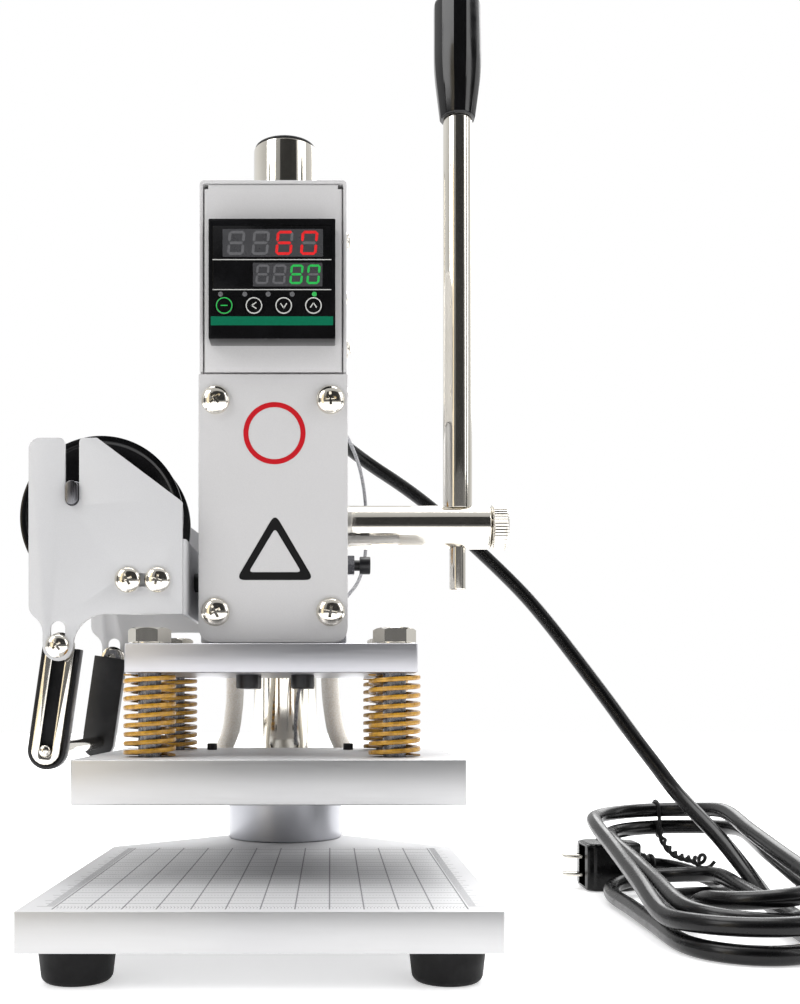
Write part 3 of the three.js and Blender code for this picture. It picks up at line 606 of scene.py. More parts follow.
def hank_turns():
    """The turns of the tied hank, side by side and on each other, then the tail that goes to the plug."""
    points = []
    rear_end = None
    for turn, front in enumerate(HANK_FRONTS):
        _, _, right_x, right_z = HANK_SIDES[2 * turn]
        left_rear_x, left_rear_z, left_x, left_z = HANK_SIDES[2 * turn + 1]
        radius = (right_x - left_x) / 2
        middle = front + radius
        if rear_end:
            points += straight(rear_end, (right_x, middle, right_z))
        points += bend((right_x + left_x) / 2, middle, radius, 0, -180, right_z, left_z)
        if turn < len(HANK_REARS):
            next_x, next_z, _, _ = HANK_SIDES[2 * turn + 2]
            radius = (next_x - left_rear_x) / 2
            rear = HANK_REARS[turn] - radius
            points += straight((left_x, middle, left_z), (left_rear_x, rear, left_rear_z))
            points += bend((next_x + left_rear_x) / 2, rear, radius, 180, 0, left_rear_z, next_z)
            rear_end = (next_x, rear, next_z)
    inner_x, _, front_x, _ = HANK_SIDES[-1]
    points += [((inner_x + front_x) / 2, 88, 9), (inner_x, 103, 4.6), (inner_x, 118, ON_FLOOR)]
    x, y = inner_x + TAIL_BEND, CORD_END[1] - TAIL_BEND
    points += bend(x, y - 2 * TAIL_BEND, TAIL_BEND, 180, 90, ON_FLOOR, ON_FLOOR, 3)
    points += bend(x, y, TAIL_BEND, -90, 0, ON_FLOOR, ON_FLOOR, 3)[1:]
    points += bend(x, y, TAIL_BEND, 0, 90, ON_FLOOR, 10.2, 3)[1:]
    return points + [CORD_END]


def mains_plug():
    """Moulded two-pin plug lying on its side, its neck towards the hank. Returns the plug and its pins."""
    low, high = extent("mains_plug")
    middle = (low.y + high.y) / 2
    near, far = PLUG_PINS, PLUG_NECK
    outline = [(near, low.y + 3.5), (near + 3, low.y), (far - 7, low.y), (far, middle - 6.5),
               (far, middle + 6.5), (far - 7, high.y), (near + 3, high.y), (near, high.y - 3.5)]
    shell = prism("z", soften(outline, 1.6, 4), 0, high.z, 1.6, 4)
    rim = rectangle(low.y + 0.4, high.y - 0.4, 0.4, high.z - 0.4, 3, 5)
    grips = [block(x, x + 1.4, low.y + 3, high.y - 3, high.z - 0.5, high.z + 0.5, 0.3)
             for x in (near + 8, near + 11, near + 14, near + 17)]
    profile = [(0, far - 1), (6, far - 1), (6, far + 1), (5.4, far + 2), (5.4, far + 3), (4.6, far + 3.6),
               (4.6, far + 4.6), (5.1, far + 5.2), (5, far + 6.2), (4.3, far + 7), (0, far + 7)]
    neck = lathe("x", profile, (middle, NECK_Z), 40)
    shell = joined(shell, prism("x", rim, near, near + 3.2, 0.5), *grips, neck)
    parts = [fine("mains_plug", shell, "cord_black")]
    half = 3.2
    blade = [(low.x, middle - 1.9), (low.x + 1.4, middle - half), (near + 1, middle - half),
             (near + 1, middle + half), (low.x + 1.4, middle + half), (low.x, middle + 1.9)]
    for index, z in enumerate((6.5, 14.5)):
        pin = prism("z", soften(blade, 0.3, 2), z - 0.8, z + 0.8, 0.25)
        parts.append(piece(f"plug_pin_{index + 1}", pin, "chrome", BODY_OF["mains_plug"]))
    return parts


def mains_cord():
    parts = mains_plug()
    line = relax(smooth_line(CORD_ROUTE + hank_turns(), 2.0), 8)
    shape = tube(line, CORD_RADIUS, 20)
    cord = piece("mains_cord", shape, "cord_black", None, ["power_cord", "cord_hank"], 60)
    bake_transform(cord)


def wire_tie():
    """Soft wire round the hank's two upper strands, its ends twisted together and left in the loop."""
    wire = 0.8
    twist = 1620  # degrees that each end turns
    reach = CORD_RADIUS + wire + 0.05
    x = 168
    flat = arc(199.2, 34.3, reach, 0, 180, 8) + arc(198.4, 26.5, reach, 180, 360, 8)
    loop = [Vector((x + 0.1 * step, y, z)) for step, (y, z) in enumerate(flat)]
    route = [(x, 194.2, 30), (169.5, 190.2, 21), (172, 183, 16.4), (176, 172, 15.3), (180, 163, 15.6)]
    lie = smooth_line(route, 1.2)
    ends = []
    for start in (0, 180):
        tail = []
        for step, point in enumerate(lie):
            share = step / (len(lie) - 1)
            angle = math.radians(start + share * twist)
            spread = 1 + max(0, share - 0.8) * 12
            tail.append(point + Vector((math.cos(angle), 0, math.sin(angle))) * spread)
        ends.append(tube(smooth_line(tail, 0.7), wire, 8))
    tie = joined(tube(smooth_line(loop, 0.8), wire, 8), *ends)
    piece("hank_tie", tie, "matte_black", BODY_OF["cord_hank"], (), 60)


mains_cord()
wire_tie()


# ---------- base and column ----------
COLUMN = (0, 191)
COLLAR_RADIUS = 25


def foot(node):
    low, high = extent(node)
    centre = ((low.x + high.x) / 2, (low.y + high.y) / 2)
    top = (high.x - low.x) / 2
    roof = extent("base_plate")[0].z
    recess = 4
    profile = [(0, recess), (4.5, recess, 0.4), (4.5, 0, 0.6), (top - 2.3, 0, 1), (top - 1, 1.4, 0.8),
               (top, roof - 1, 0.6), (top - 0.4, roof), (0, roof)]
    fine(node, lathe("z", profile, centre, 72, 4), "foot_rubber")
    head = pan_head(3.6, 2.2, 1.5, 3)
    screw(f"{node}_screw", head, (*centre, recess), DOWN, BODY_OF[node], "steel", centre[0])


def base_plate():
    low, high = extent("base_plate")
    neck = 26
    shoulder = 154
    slant = shoulder + high.x - neck
    outline = [(low.x, 0), (high.x, 0), (high.x, shoulder), (neck, slant), (neck, high.y), (-neck, high.y),
               (-neck, slant), (low.x, shoulder)]
    plate = prism("z", soften(outline, 0.6, 3), low.z, high.z, 0.9, 3)
    satin_painted_light_above(fine("base_plate", plate, "aluminium_base"))


def grid_marks():
    """The printed 10 mm grid: long lines, rows of millimetre dots, and a ruler along each side."""
    top = extent("base_plate")[1].z
    marks = bmesh.new()

    def mark(x, y, half_x, half_y):
        corners = rectangle(x - half_x, x + half_x, y - half_y, y + half_y)
        bridge(marks, [[marks.verts.new((u, v, z)) for u, v in corners] for z in (top + 0.035, top - 0.01)])

    first, last, half = 9, 149, 60
    for x in range(-half, half + 1, 10):
        mark(x, (first - 5 + last) / 2, 0.22, (last - first + 5) / 2)
    for y in range(first, last, 10):
        for x in range(-half, half, 10):
            mark(x + 5, y + 5, 4.78, 0.14)
    for y in range(first, last + 1, 10):
        for x in range(-half, half):
            mark(x + 0.51, y, 0.21, 0.11)
    for y in range(first, last + 1):
        reach = 2.5 if (y - first) % 10 == 0 else 1.8 if (y - first) % 5 == 0 else 1.2
        for side in (-1, 1):
            mark(side * (half + 0.6 + reach), y, reach, 0.08)
    for x in range(-half, half + 1):
        reach = 1.1 if x % 10 else 1.5
        mark(x, first - 3.4 + reach, 0.08, reach)
    piece("grid_marks", marks, "engraving", BODY_OF["base_plate"])


def column():
    floor = extent("base_plate")[1].z
    collar_top, top = extent("column_collar")[1].z, extent("column_tube")[1].z
    collar = bored("z", COLLAR_RADIUS, 14.1, floor, collar_top, COLUMN, 1, 96)
    fine("column_collar", collar, "aluminium_plate")
    clamp = socket_head(2.5, 1.2, 1.3, 2, 3)
    spot = (0, COLUMN[1] + COLLAR_RADIUS, 38)
    screw("collar_screw", clamp, spot, BACK, "stand", "black_steel")
    fine("column_tube", bored("z", 14, 10.7, floor, top, COLUMN, 0.8, 96), "chrome")
    cap = [(0, top - 9), (10.5, top - 9, 0.5), (10.5, top), (13.5, top, 0.3), (13.5, top + 1, 0.5),
           (12.6, top + 1.6, 0.5), (0, top + 1.9)]
    fine("column_cap", lathe("z", cap, COLUMN, 80), "matte_black")


for corner in ("front_left", "front_right", "rear_left", "rear_right"):
    foot(f"foot_{corner}")
base_plate()
grid_marks()
column()


# ---------- head ----------
PINION = (127, 151.8)  # y, z of the lever's axis
CLAMP = (222, 150)  # y, z
GIB = (105, 134.2)  # y, z
WIRE_X, WIRE_Y = 20, 158  # holes for the heater leads


def wire_holes(low, high):
    return [rod("z", 3, low, high, (side * WIRE_X, WIRE_Y), 0, 24) for side in (-1, 1)]


def head_body():
    low, high = extent("head_body")
    half = high.x
    under, over = low.z - 1, high.z + 1
    rear = COLUMN[1]
    outline = [(-half, low.y), (half, low.y)] + arc(*COLUMN, half, 0, 180, 40)
    body = prism("z", outline, low.z, high.z, 0.7, 2)
    lugs = block(-9, 9, rear + 20, high.y, low.z + 12, high.z - 12, 0.8)
    tools = [
        rod("z", 14.2, under, over, COLUMN, 0, 96),
        block(-1, 1, rear + 13, rear + 40, under, over),
        block(-15.3, 15.3, 89.7, 117.4, under, over),
        rod("x", 13.1, -13.6, half + 1, PINION, 0, 64),
        rod("x", 6.3, -half - 1, 0, PINION, 0, 40),
        rod("x", 2.3, 15, half + 1, GIB, 0, 24),
        *wire_holes(under, over),
        rod("x", 3.2, -12, 12, CLAMP, 0, 24),
    ]
    fine("head_body", cut(boolean(body, "UNION", lugs), *tools), "cast_head")


def front_cover():
    low, high = extent("front_cover")
    outline = [(low.x, low.z, 6), (high.x, low.z, 6), (high.x, high.z, 0.5), (low.x, high.z, 0.5)]
    fine("front_cover", prism("y", soften(outline, 0, 8), low.y, high.y + 0.25, 0.45, 3), "silver_paint")
    for index, node in enumerate(n for n in BODY_OF if n.startswith("cover_screw")):
        lower, upper = extent(node)
        middle = (lower + upper) / 2
        head = pan_head((upper.x - lower.x) / 2, 3.3, 2, 6)
        spot = (middle.x, low.y, middle.z)
        screw(f"{node}_fine", head, spot, FRONT, BODY_OF[node], "chrome", 0.5 + index * 0.9, [node])


def cover_marks():
    """Plain round and triangular marks where the real machine has its labels."""
    face = extent("front_cover")[0].y
    front, back = face - 0.07, face + 0.02
    body = BODY_OF["front_cover"]
    piece("round_mark", bored("y", 11, 9.2, front, back, (0.5, 178), 0.01, 72), "red_ink", body)
    outer = soften([(-13.1, 126.1), (14.5, 126.1), (0.7, 149.6)], 3.2, 6)
    inner = soften([(-8.6, 128.9), (10, 128.9), (0.7, 144.4)], 1.6, 6)
    mark = cut(prism("y", outer, front, back), prism("y", inner, front - 1, back + 1))
    piece("triangle_mark", mark, "black_ink", body)


def head_fittings():
    fine("pinion_bush", bored("x", 12.9, 8.7, 15, 26, PINION, 0.5, 72), "bush_bronze")
    clamp, gib = socket_head(4.5, 5, 2.3, 3, 20), socket_head(3.3, 4, 1.7, 2, 14.5)
    screw("clamp_screw_fine", clamp, (9.3, *CLAMP), RIGHT, "head", "black_steel", 0.2, ["clamp_screw"])
    screw("clamp_nut", hex_nut(8, 4, 2.6), (-9.3, *CLAMP), LEFT, "head", "steel")
    screw("gib_screw_fine", gib, (31.2, *GIB), RIGHT, "head", "black_steel", 0.4, ["gib_screw"])
    screw("gib_nut", hex_nut(7, 3, 2.1), (26.2, *GIB), RIGHT, "head", "steel")


head_body()
front_cover()
cover_marks()
head_fittings()


# ---------- ram, plates and springs ----------
BOLT_X = 42.5
BOLT_Y = {"front": 73, "rear": 138}
BOLT_SPOTS = [(side * BOLT_X, y) for y in BOLT_Y.values() for side in (-1, 1)]
HEATER_X, HEATER_Z = 27.4, 56.5


def plate(node, finish, rim, edge, tools):
    low, high = extent(node)
    blank = prism("z", rectangle(low.x, high.x, low.y, high.y, rim, 2), low.z, high.z, edge, 3)
    return fine(node, cut(blank, *tools), finish)


def plates():
    low, high = extent("upper_plate")
    hole = [(0, low.z - 1), (4.5, low.z - 1), (4.5, high.z - 0.4), (5.2, high.z + 0.1), (5.2, high.z + 1),
            (0, high.z + 1)]
    plate("upper_plate", "aluminium_plate", 0.5, 0.45, [lathe("z", hole, spot, 40) for spot in BOLT_SPOTS])
    low, high = extent("heating_plate")
    tools = [rod("z", 4.4, 51.4, high.z + 1, spot, 0, 40) for spot in BOLT_SPOTS]
    tools += [rod("y", 5.2, 67, high.y + 1, (side * HEATER_X, HEATER_Z), 0, 40) for side in (-1, 1)]
    satin_painted_light_above(plate("heating_plate", "aluminium_base", 0.6, 0.8, tools))


def guide_bolt(node, centre):
    low, high = extent(node)
    seat, top = extent("upper_plate")[1].z, high.z
    corner = 13 / math.sqrt(3)
    head = prism("z", hexagon(corner, centre), seat + 0.6, top)
    wide = corner + 0.5
    chamfer = [(0, seat), (6.3, seat), (6.3, seat + 0.62), (wide, seat + 0.62), (wide, top - 1.1),
               (corner * 0.84, top), (corner * 0.6, top + 0.01), (0, top + 0.01)]
    washer = rod("z", 6.3, seat, seat + 0.7, centre, 0.1, 48)
    head = boolean(head, "INTERSECT", lathe("z", chamfer, centre, 64))
    fine(node, joined(head, washer), "chrome", 25)
    shank = [(0, low.z), (3.4, low.z), (4, low.z + 0.7), (4, seat), (0, seat)]
    piece(f"{node}_shank", lathe("z", shank, centre, 40), "steel", BODY_OF[node])


def die_spring(node, centre):
    """Rectangular-wire die spring whose first and last coils close up flat."""
    floor, roof = extent("heating_plate")[1].z, extent("upper_plate")[0].z
    radius, half, flat = 7.7, 1.35, 0.8
    coils, per_coil = 9.5, 40
    steps = int(coils * per_coil)
    closed = 0.6 * per_coil
    taper = 12  # steps over which each end of the wire thins
    rises = [min(1, (step + 0.5) / closed, (steps - step - 0.5) / closed) for step in range(steps)]
    pitch = (roof - floor - 2 * flat) / sum(rises)
    section = soften([(-half, -flat), (half, -flat), (half, flat), (-half, flat)], 0.5, 2)
    mesh = bmesh.new()
    rings = []
    for step in range(steps + 1):
        angle = 2 * math.pi * step / per_coil
        end = min(1, step / taper, (steps - step) / taper)
        sink = (1 - end) * flat * (0.3 if step < steps / 2 else -0.3)
        z = floor + flat + pitch * sum(rises[:step]) - sink
        rings.append([mesh.verts.new((centre[0] + (radius + u) * math.cos(angle),
                                      centre[1] + (radius + u) * math.sin(angle),
                                      z + v * (0.35 + 0.65 * end))) for u, v in section])
    bridge(mesh, rings)
    bmesh.ops.recalc_face_normals(mesh, faces=mesh.faces)
    spring = fine(node, mesh, "spring_enamel", 50)
    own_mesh(spring)


def ram_parts():
    rim = dress("ram_rack", "steel").modifiers.new("rim", "BEVEL")
    rim.width = 0.0003
    rim.segments = 2
    under, top = extent("upper_plate")[0].z, extent("heating_plate")[1].z
    for index, (x, y) in enumerate(((-10, 95), (10, 95), (-10, 108), (10, 108))):
        cap = socket_head(4.25, 5, 2.4, 2.5, 14)
        screw(f"ram_screw_{index + 1}", cap, (x, y, under), DOWN, "ram", "black_steel", 0.2 * index)
    for side, sign in SIDES:
        grub = socket_head(2, 2.6, 1.1, 1.6, 3)
        screw(f"heater_grub_{side}", grub, (sign * HEATER_X, 138, top), UP, "platen", "black_steel")


def hanging_lead(name, route, radius, finish, shape=None, replaces=()):
    """A lead from the head down to the heating plate, in two lengths that meet behind the ram."""
    line = smooth_line(route, 1.0)
    meet = next(index for index, point in enumerate(line) if point.z < 88)
    upper = piece(f"{name}_upper", tube(line[:meet + 1], radius, 16, shape), finish, None, (), 60)
    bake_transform(upper)
    lower = piece(f"{name}_lower", tube(line[meet:], radius, 16), finish, None, replaces, 60)
    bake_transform(lower)


def heater(side, sign):
    node = f"cartridge_heater_{side}"
    low, high = extent(node)
    x, z, end = sign * HEATER_X, HEATER_Z, high.y
    fine(node, rod("y", 5, low.y, end - 1, (x, z), 0.8, 48), "steel")
    seal = [(0, end - 1.5), (4.4, end - 1.5), (4.4, end, 0.5), (2.6, end + 3, 0.5), (0, end + 3)]
    piece(f"heater_seal_{side}", lathe("y", seal, (x, z), 40), "matte_black", BODY_OF[node])
    hole = sign * WIRE_X
    route = [(hole, WIRE_Y, 112), (hole, WIRE_Y, 104.5), (hole, 160.5, z + 39), (x * 0.74, 163.5, z + 31),
             (x * 0.77, 167, z + 23), (x * 0.83, 169.5, z + 14), (x * 0.95, 171, z + 6),
             (x, 168.4, z + 0.8), (x, 163.5, z)]

    def sleeve(share):
        return 0.6 + 0.4 * min(1, max(0, (share - 0.45) / 0.3))

    hanging_lead(f"heater_lead_{side}", route, 3.7, "white_sleeve", sleeve, [f"heater_lead_{side}"])


plates()
for side, sign in SIDES:
    for row, bolt_y in BOLT_Y.items():
        guide_bolt(f"guide_bolt_{row}_{side}", (sign * BOLT_X, bolt_y))
        die_spring(f"die_spring_{row}_{side}", (sign * BOLT_X, bolt_y))
    heater(side, sign)
ram_parts()


# ---------- lever and pinion ----------
LEVER_X = 70.3
LEVER = (LEVER_X, PINION[0])


def pinion_outline(module=1.5, teeth=15, play=0.35):
    """The involute outline of the whole pinion, about its axis, one tooth facing the rack."""
    pitch = module * teeth / 2
    base = pitch * math.cos(math.radians(20))

    def involute(radius):
        angle = math.acos(min(1, base / radius))
        return math.tan(angle) - angle

    half_pitch = math.pi / (2 * teeth) - play / (2 * pitch)
    levels = [base + 0.02 + (pitch + 1.2 - base - 0.02) * step / 6 for step in range(7)]
    flank = [(radius, half_pitch + involute(pitch) - involute(radius)) for radius in levels]
    side = [(pitch - 1.7, flank[0][1]), *flank]
    tooth = [(radius, -half) for radius, half in side] + side[::-1]
    facings = [math.pi + 2 * math.pi * index / teeth for index in range(teeth)]
    points = [(radius, facing + angle) for facing in facings for radius, angle in tooth]
    return [(PINION[0] + radius * math.cos(angle), PINION[1] + radius * math.sin(angle))
            for radius, angle in points]


def pinion_shaft():
    low, high = extent("pinion_shaft")
    end, middle = high.x - 3, PINION[1]
    shaft = [(0, low.x), (6, low.x, 0.4), (6, 12.5), (8.5, 12.5, 0.3), (8.5, end, 1), (4, end),
             (4, high.x, 0.3), (0, high.x)]
    seat = [(0, middle - 12), (3.4, middle - 12), (3.4, middle + 7.2), (5.9, middle + 7.2),
            (5.9, middle + 12), (0, middle + 12)]
    shaft = cut(lathe("x", shaft, PINION, 96, 4), lathe("z", seat, LEVER, 64))
    fine("pinion_shaft", joined(prism("x", pinion_outline(), -13, 13), shaft), "chrome")


def lever():
    low, high = extent("lever_rod")
    seat, top = PINION[1] + 7.3, extent("lever_grip")[0].z
    bar = [(0, low.z), (3.15, low.z, 0.7), (3.15, seat), (5.65, seat, 0.2), (5.65, top, 0.4), (3.5, top),
           (3.5, high.z, 0.4), (0, high.z)]
    fine("lever_rod", lathe("z", bar, LEVER, 80, 4), "chrome")


def lever_grip():
    """A tapered grip with twelve soft flats, hollow below where the rod's thread goes in."""
    low, high = extent("lever_grip")
    step = math.radians(30)

    def flatted(angle, radius):
        off = (angle + step / 2) % step - step / 2
        flat = radius * math.cos(step / 2) / math.cos(off)
        return radius * 0.3 + flat * 0.7 if radius > 4.5 else radius

    depth = low.z + 14.4
    profile = [(0, depth), (3.7, depth), (3.7, low.z), (7, low.z, 1), (9.5, low.z + 20, 6),
               (9.5, high.z, 2.2), (0, high.z)]
    fine("lever_grip", lathe("z", profile, LEVER, 96, 6, flatted), "gloss_black", 22)


def lever_cap():
    end, start = extent("lever_cap")[1].x, extent("pinion_shaft")[1].x - 2.6

    def knurled(angle, radius):
        return radius * (1 + 0.014 * math.cos(angle * 48)) if radius > 8.6 else radius

    cap = [(0, start), (8.2, start, 0.2), (8.9, start + 0.7, 0.2), (8.9, end - 0.8, 0.2), (8.1, end, 0.3),
           (6.8, end, 0.2), (6.4, end - 0.35, 0.2), (0, end - 0.35)]
    fine("lever_cap", lathe("x", cap, PINION, 384, 2, knurled), "chrome", 40)


pinion_shaft()
lever()
lever_grip()
lever_cap()


# ---------- temperature controller ----------
BOX_BACK = 174
BOX_SHEET = 1.2
CORD_X, CORD_Z = 19, 212  # where the cord leaves the box
KEY_Z = 220.2
# Each key's place across, and the lines of its plain symbol.
KEYS = {
    "key_set": (-16.5, [(-1, 0), (1, 0)]), "key_shift": (-6.2, [(0.7, 1), (-0.8, 0), (0.7, -1)]),
    "key_down": (4.1, [(-1, 0.6), (0, -0.9), (1, 0.6)]), "key_up": (14.4, [(-1, -0.6), (0, 0.9), (1, -0.6)]),
}


def controller_cover():
    low, high = extent("controller_cover")
    left, right, top = low.x + BOX_SHEET, high.x - BOX_SHEET, high.z - BOX_SHEET
    outline = [(low.x, low.z), (low.x, high.z, 1.8), (high.x, high.z, 1.8), (high.x, low.z),
               (right, low.z), (right, top, 0.8), (left, top, 0.8), (left, low.z)]
    fine("controller_cover", prism("y", soften(outline, 0, 5), low.y, high.y, 0.25, 2), "silver_paint")
    spots = [(y, z) for y in (100, 160) for z in (213.9, 253.6)]
    for side, sign in SIDES:
        for index, (y, z) in enumerate(spots):
            head = pan_head(3.3, 2, 1.5, 3)
            spot, out = (sign * high.x, y, z), (sign, 0, 0)
            screw(f"box_screw_{side}_{index + 1}", head, spot, out, "head", "chrome", 0.7 * index)


def controller_tray():
    low, high = extent("controller_tray")
    bezel_low, bezel_high = extent("controller_bezel")
    before, back = low.y - 1, high.y - 3
    shell = prism("z", rectangle(low.x, high.x, low.y, high.y, 1, 4), low.z, high.z, 0.3)
    tools = [
        block(low.x - 1, high.x + 1, low.y + BOX_SHEET, high.y - BOX_SHEET, low.z + BOX_SHEET, high.z + 1),
        block(-21.3, 21.3, before, low.y + 3, bezel_low.z + 1.2, bezel_high.z - 1.2),
        rod("y", 4.3, back, high.y + 1, (CORD_X, CORD_Z), 0, 32),
        *wire_holes(low.z - 1, low.z + 3),
        *[block(x, x + 2.4, back, high.y + 1, 234, 254, 0.4) for x in range(-15, 11, 5)],
        *[block(*sorted((side * (high.x + 1), side * (high.x - 1.6))), before, low.y + 3, high.z - 1.6,
                high.z + 1) for side in (-1, 1)],
    ]
    fine("controller_tray", cut(shell, *tools), "silver_paint")
    dress("controller_case", "matte_black")


def field(name, x0, x1, z0, z1, finish, front, back, radius=0.0):
    """A flat coloured field on the display."""
    piece(name, prism("y", rectangle(x0, x1, z0, z1, radius, 3), front, back), finish, "head")


def bar_outline(u0, u1, v0, v1, bar):
    """One segment of a digit between two ends: a bar with pointed ends, upright or level."""
    tip, square = bar * 0.25, bar / 2
    if v0 == v1:
        return [(u0 - tip, v0), (u0 + tip, v0 + square), (u1 - tip, v0 + square), (u1 + tip, v0),
                (u1 - tip, v0 - square), (u0 + tip, v0 - square)]
    tip, inset = bar * 0.1, bar * 0.4
    return [(u0, v0 - tip), (u0 + square, v0 + inset), (u0 + square, v1 - inset), (u0, v1 + tip),
            (u0 - square, v1 - inset), (u0 - square, v0 + inset)]


def digit_segments(x, z, width, height, lit):
    """A seven-segment digit's shapes, lit and unlit. x, z is its middle."""
    bar = height * 0.115
    gap = bar * 0.22
    reach, side = width / 2 - bar * 0.55 - gap, width / 2 - bar / 2
    top, inset = height / 2 - bar / 2, gap + bar * 0.35
    spans = {
        "a": (-reach, reach, top, top), "g": (-reach, reach, 0, 0), "d": (-reach, reach, -top, -top),
        "f": (-side, -side, inset, height / 2 - inset), "b": (side, side, inset, height / 2 - inset),
        "e": (-side, -side, inset - height / 2, -inset), "c": (side, side, inset - height / 2, -inset),
    }
    lean = math.tan(math.radians(5))
    face = extent("display_window")[0].y
    groups = {True: [], False: []}
    for key, span in spans.items():
        slanted = [(x + u + v * lean, z + v) for u, v in bar_outline(*span, bar)]
        groups[key in lit].append(prism("y", slanted, face - 0.06, face + 0.02))
    return groups


DIGITS = {"0": "abcdef", "6": "acdefg", "8": "abcdefg", " ": ""}


def number(name, text, positions, z, width, height, colour):
    digits = [digit_segments(x, z, width, height, DIGITS[character]) for character, x in zip(text, positions)]
    for state, lit, finish in (("lit", True, colour), ("unlit", False, "unlit")):
        shapes = [shape for groups in digits for shape in groups[lit]]
        piece(f"{name}_{state}", joined(*shapes), finish, "head")


def display():
    low, high = extent("controller_bezel")
    window_low, window_high = extent("display_window")
    front, face = low.y, window_low.y
    x0, x1, z0, z1 = window_low.x, window_high.x, window_low.z, window_high.z
    bezel = prism("y", rectangle(low.x, high.x, low.z, high.z, 0.5, 3), front, high.y, 0.8, 3)
    pocket = block(x0 - 0.3, x1 + 0.3, front - 1, front + 0.9, z0 - 0.3, z1 + 0.3)
    holes = [rod("y", 3.3, front - 1, front + 3.4, (x, KEY_Z), 0, 40) for x, _ in KEYS.values()]
    fine("controller_bezel", cut(bezel, pocket, *holes), "gloss_black")
    pane = rectangle(x0 - 0.25, x1 + 0.25, z0 - 0.25, z1 + 0.25, 0.4, 3)
    fine("display_window", prism("y", pane, face, window_high.y, 0.1, 2), "gloss_black")
    field("upper_field", -17.1, 17.7, 237.3, 246.9, "display", face - 0.03, face + 0.02, 0.3)
    field("lower_field", -6.6, 17.5, 227, 235.2, "display", face - 0.03, face + 0.02, 0.3)
    number("process_value", "  60", (-12.4, -3.9, 4.3, 12.9), 242.1, 5.8, 8.4, "lit_red")
    number("set_value", "  80", (-3.3, 2.6, 8.5, 14.4), 231.2, 4.5, 6.8, "lit_green")
    for name, z in (("upper_rule", 236.3), ("lower_rule", 225.9)):
        field(name, -21.2, 20.8, z - 0.14, z + 0.14, "white_ink", face - 0.05, face + 0.02)
    field("colour_band", -21.2, 21.2, 213.5, 216.6, "green_ink", front - 0.05, front + 0.05, 0.3)
    dome = [(0, front + 0.1), (0.85, front + 0.1), (0.85, front - 0.05), (0.6, front - 0.22),
            (0, front - 0.3)]
    for index, x in enumerate((-17.8, -9.4, -1.3, 7, 14.7)):
        finish = "lit_green" if index == 4 else "unlit"
        piece(f"lamp_{index + 1}", lathe("y", dome, (x, 224.3), 24), finish, "head")


def stroke(points, width, front, back):
    """A printed line of constant width through two or three points."""
    bars = []
    for start, end in zip(points, points[1:]):
        start, end = Vector(start), Vector(end)
        along = (end - start).normalized() * width / 2
        across = Vector((-along.y, along.x))
        corners = (start - along + across, start - along - across, end + along - across, end + along + across)
        bars.append(prism("y", [tuple(corner) for corner in corners], front, back))
    return bars


def keys():
    for node, (x, symbol) in KEYS.items():
        low, high = extent(node)
        front, face = low.y, low.y - 0.02
        dome = [(0, high.y), (3.1, high.y), (3.1, front + 0.25, 0.1), (2.9, front, 0.1), (0, front - 0.12)]
        fine(node, lathe("y", dome, (x, KEY_Z), 48, 2), "gloss_black")
        ring = bored("y", 2.85, 2.5, face - 0.08, face + 0.06, (x, KEY_Z), 0.01, 48)
        bars = stroke([(x + u, KEY_Z + v) for u, v in symbol], 0.36, face - 0.14, face + 0.06)
        # The SET key's printed symbol takes the glowing green: a painted glow on print.
        ink = "lit_green" if node == "key_set" else "white_ink"
        piece(f"{node}_print", joined(ring, *bars), ink, BODY_OF[node])


def cable_gland():
    """Moulded strain relief: a flange, then a long ribbed taper round the cord."""
    end, back = extent("cable_gland")[1].y, BOX_BACK
    inner = CORD_RADIUS + 0.1
    profile = [(inner, back - 3.5), (4, back - 3.5), (4, back), (5.6, back), (5.6, back + 2.6),
               (5.1, back + 3.4)]
    ribs = 6
    pitch = (end - back - 5.4) / ribs
    for rib in range(ribs):
        radius, y = 5 - 0.85 * rib / ribs, back + 4.4 + rib * pitch
        profile += [(radius - 0.45, y), (radius - 0.45, y + pitch * 0.35), (radius, y + pitch * 0.5),
                    (radius, y + pitch * 0.95)]
    profile += [(4.1, end), (inner, end)]
    fine("cable_gland", lathe("y", soften(profile, 0.18, 2), (CORD_X, CORD_Z), 48), "matte_black")


controller_cover()
controller_tray()
display()
keys()
cable_gland()


# ---------- foil holder ----------
ARM_X, ARM_Z = -74.5, 102.5
ARM_LENGTH = 37
LEAN = Matrix.Translation((ARM_X, 0, ARM_Z)) @ Matrix.Rotation(math.radians(8.2), 4, "Y")
SLOT_X = -69.5
SPINDLE = (SLOT_X, 155.6)
PANEL_SCREW_XS, PANEL_SCREW_Z = (-50.1, -39.8), 125.4
PANEL_LOW, PANEL_HIGH = extent("foil_panel_front")
REAR_LOW, REAR_HIGH = extent("foil_panel_rear")
MIDDLE_Y = (PANEL_LOW.y + REAR_HIGH.y) / 2


def unchanged(mesh):
    return mesh


def mirrored(mesh):
    """The same piece on the other side of the foil holder's middle plane."""
    mesh.transform(Matrix.Translation((0, 2 * MIDDLE_Y, 0)) @ Matrix.Diagonal((1, -1, 1, 1)))
    bmesh.ops.reverse_faces(mesh, faces=mesh.faces)
    return mesh


HALVES = (("front", unchanged), ("rear", mirrored))


def curve(start, leave, arrive, end, steps):
    """Points along a cubic curve that leaves and arrives towards the two middle points."""
    spots = []
    for step in range(steps + 1):
        t = step / steps
        weights = ((1 - t) ** 3, 3 * t * (1 - t) ** 2, 3 * t ** 2 * (1 - t), t ** 3)
        pairs = list(zip((start, leave, arrive, end), weights))
        spots.append((sum(point[0] * weight for point, weight in pairs),
                      sum(point[1] * weight for point, weight in pairs)))
    return spots


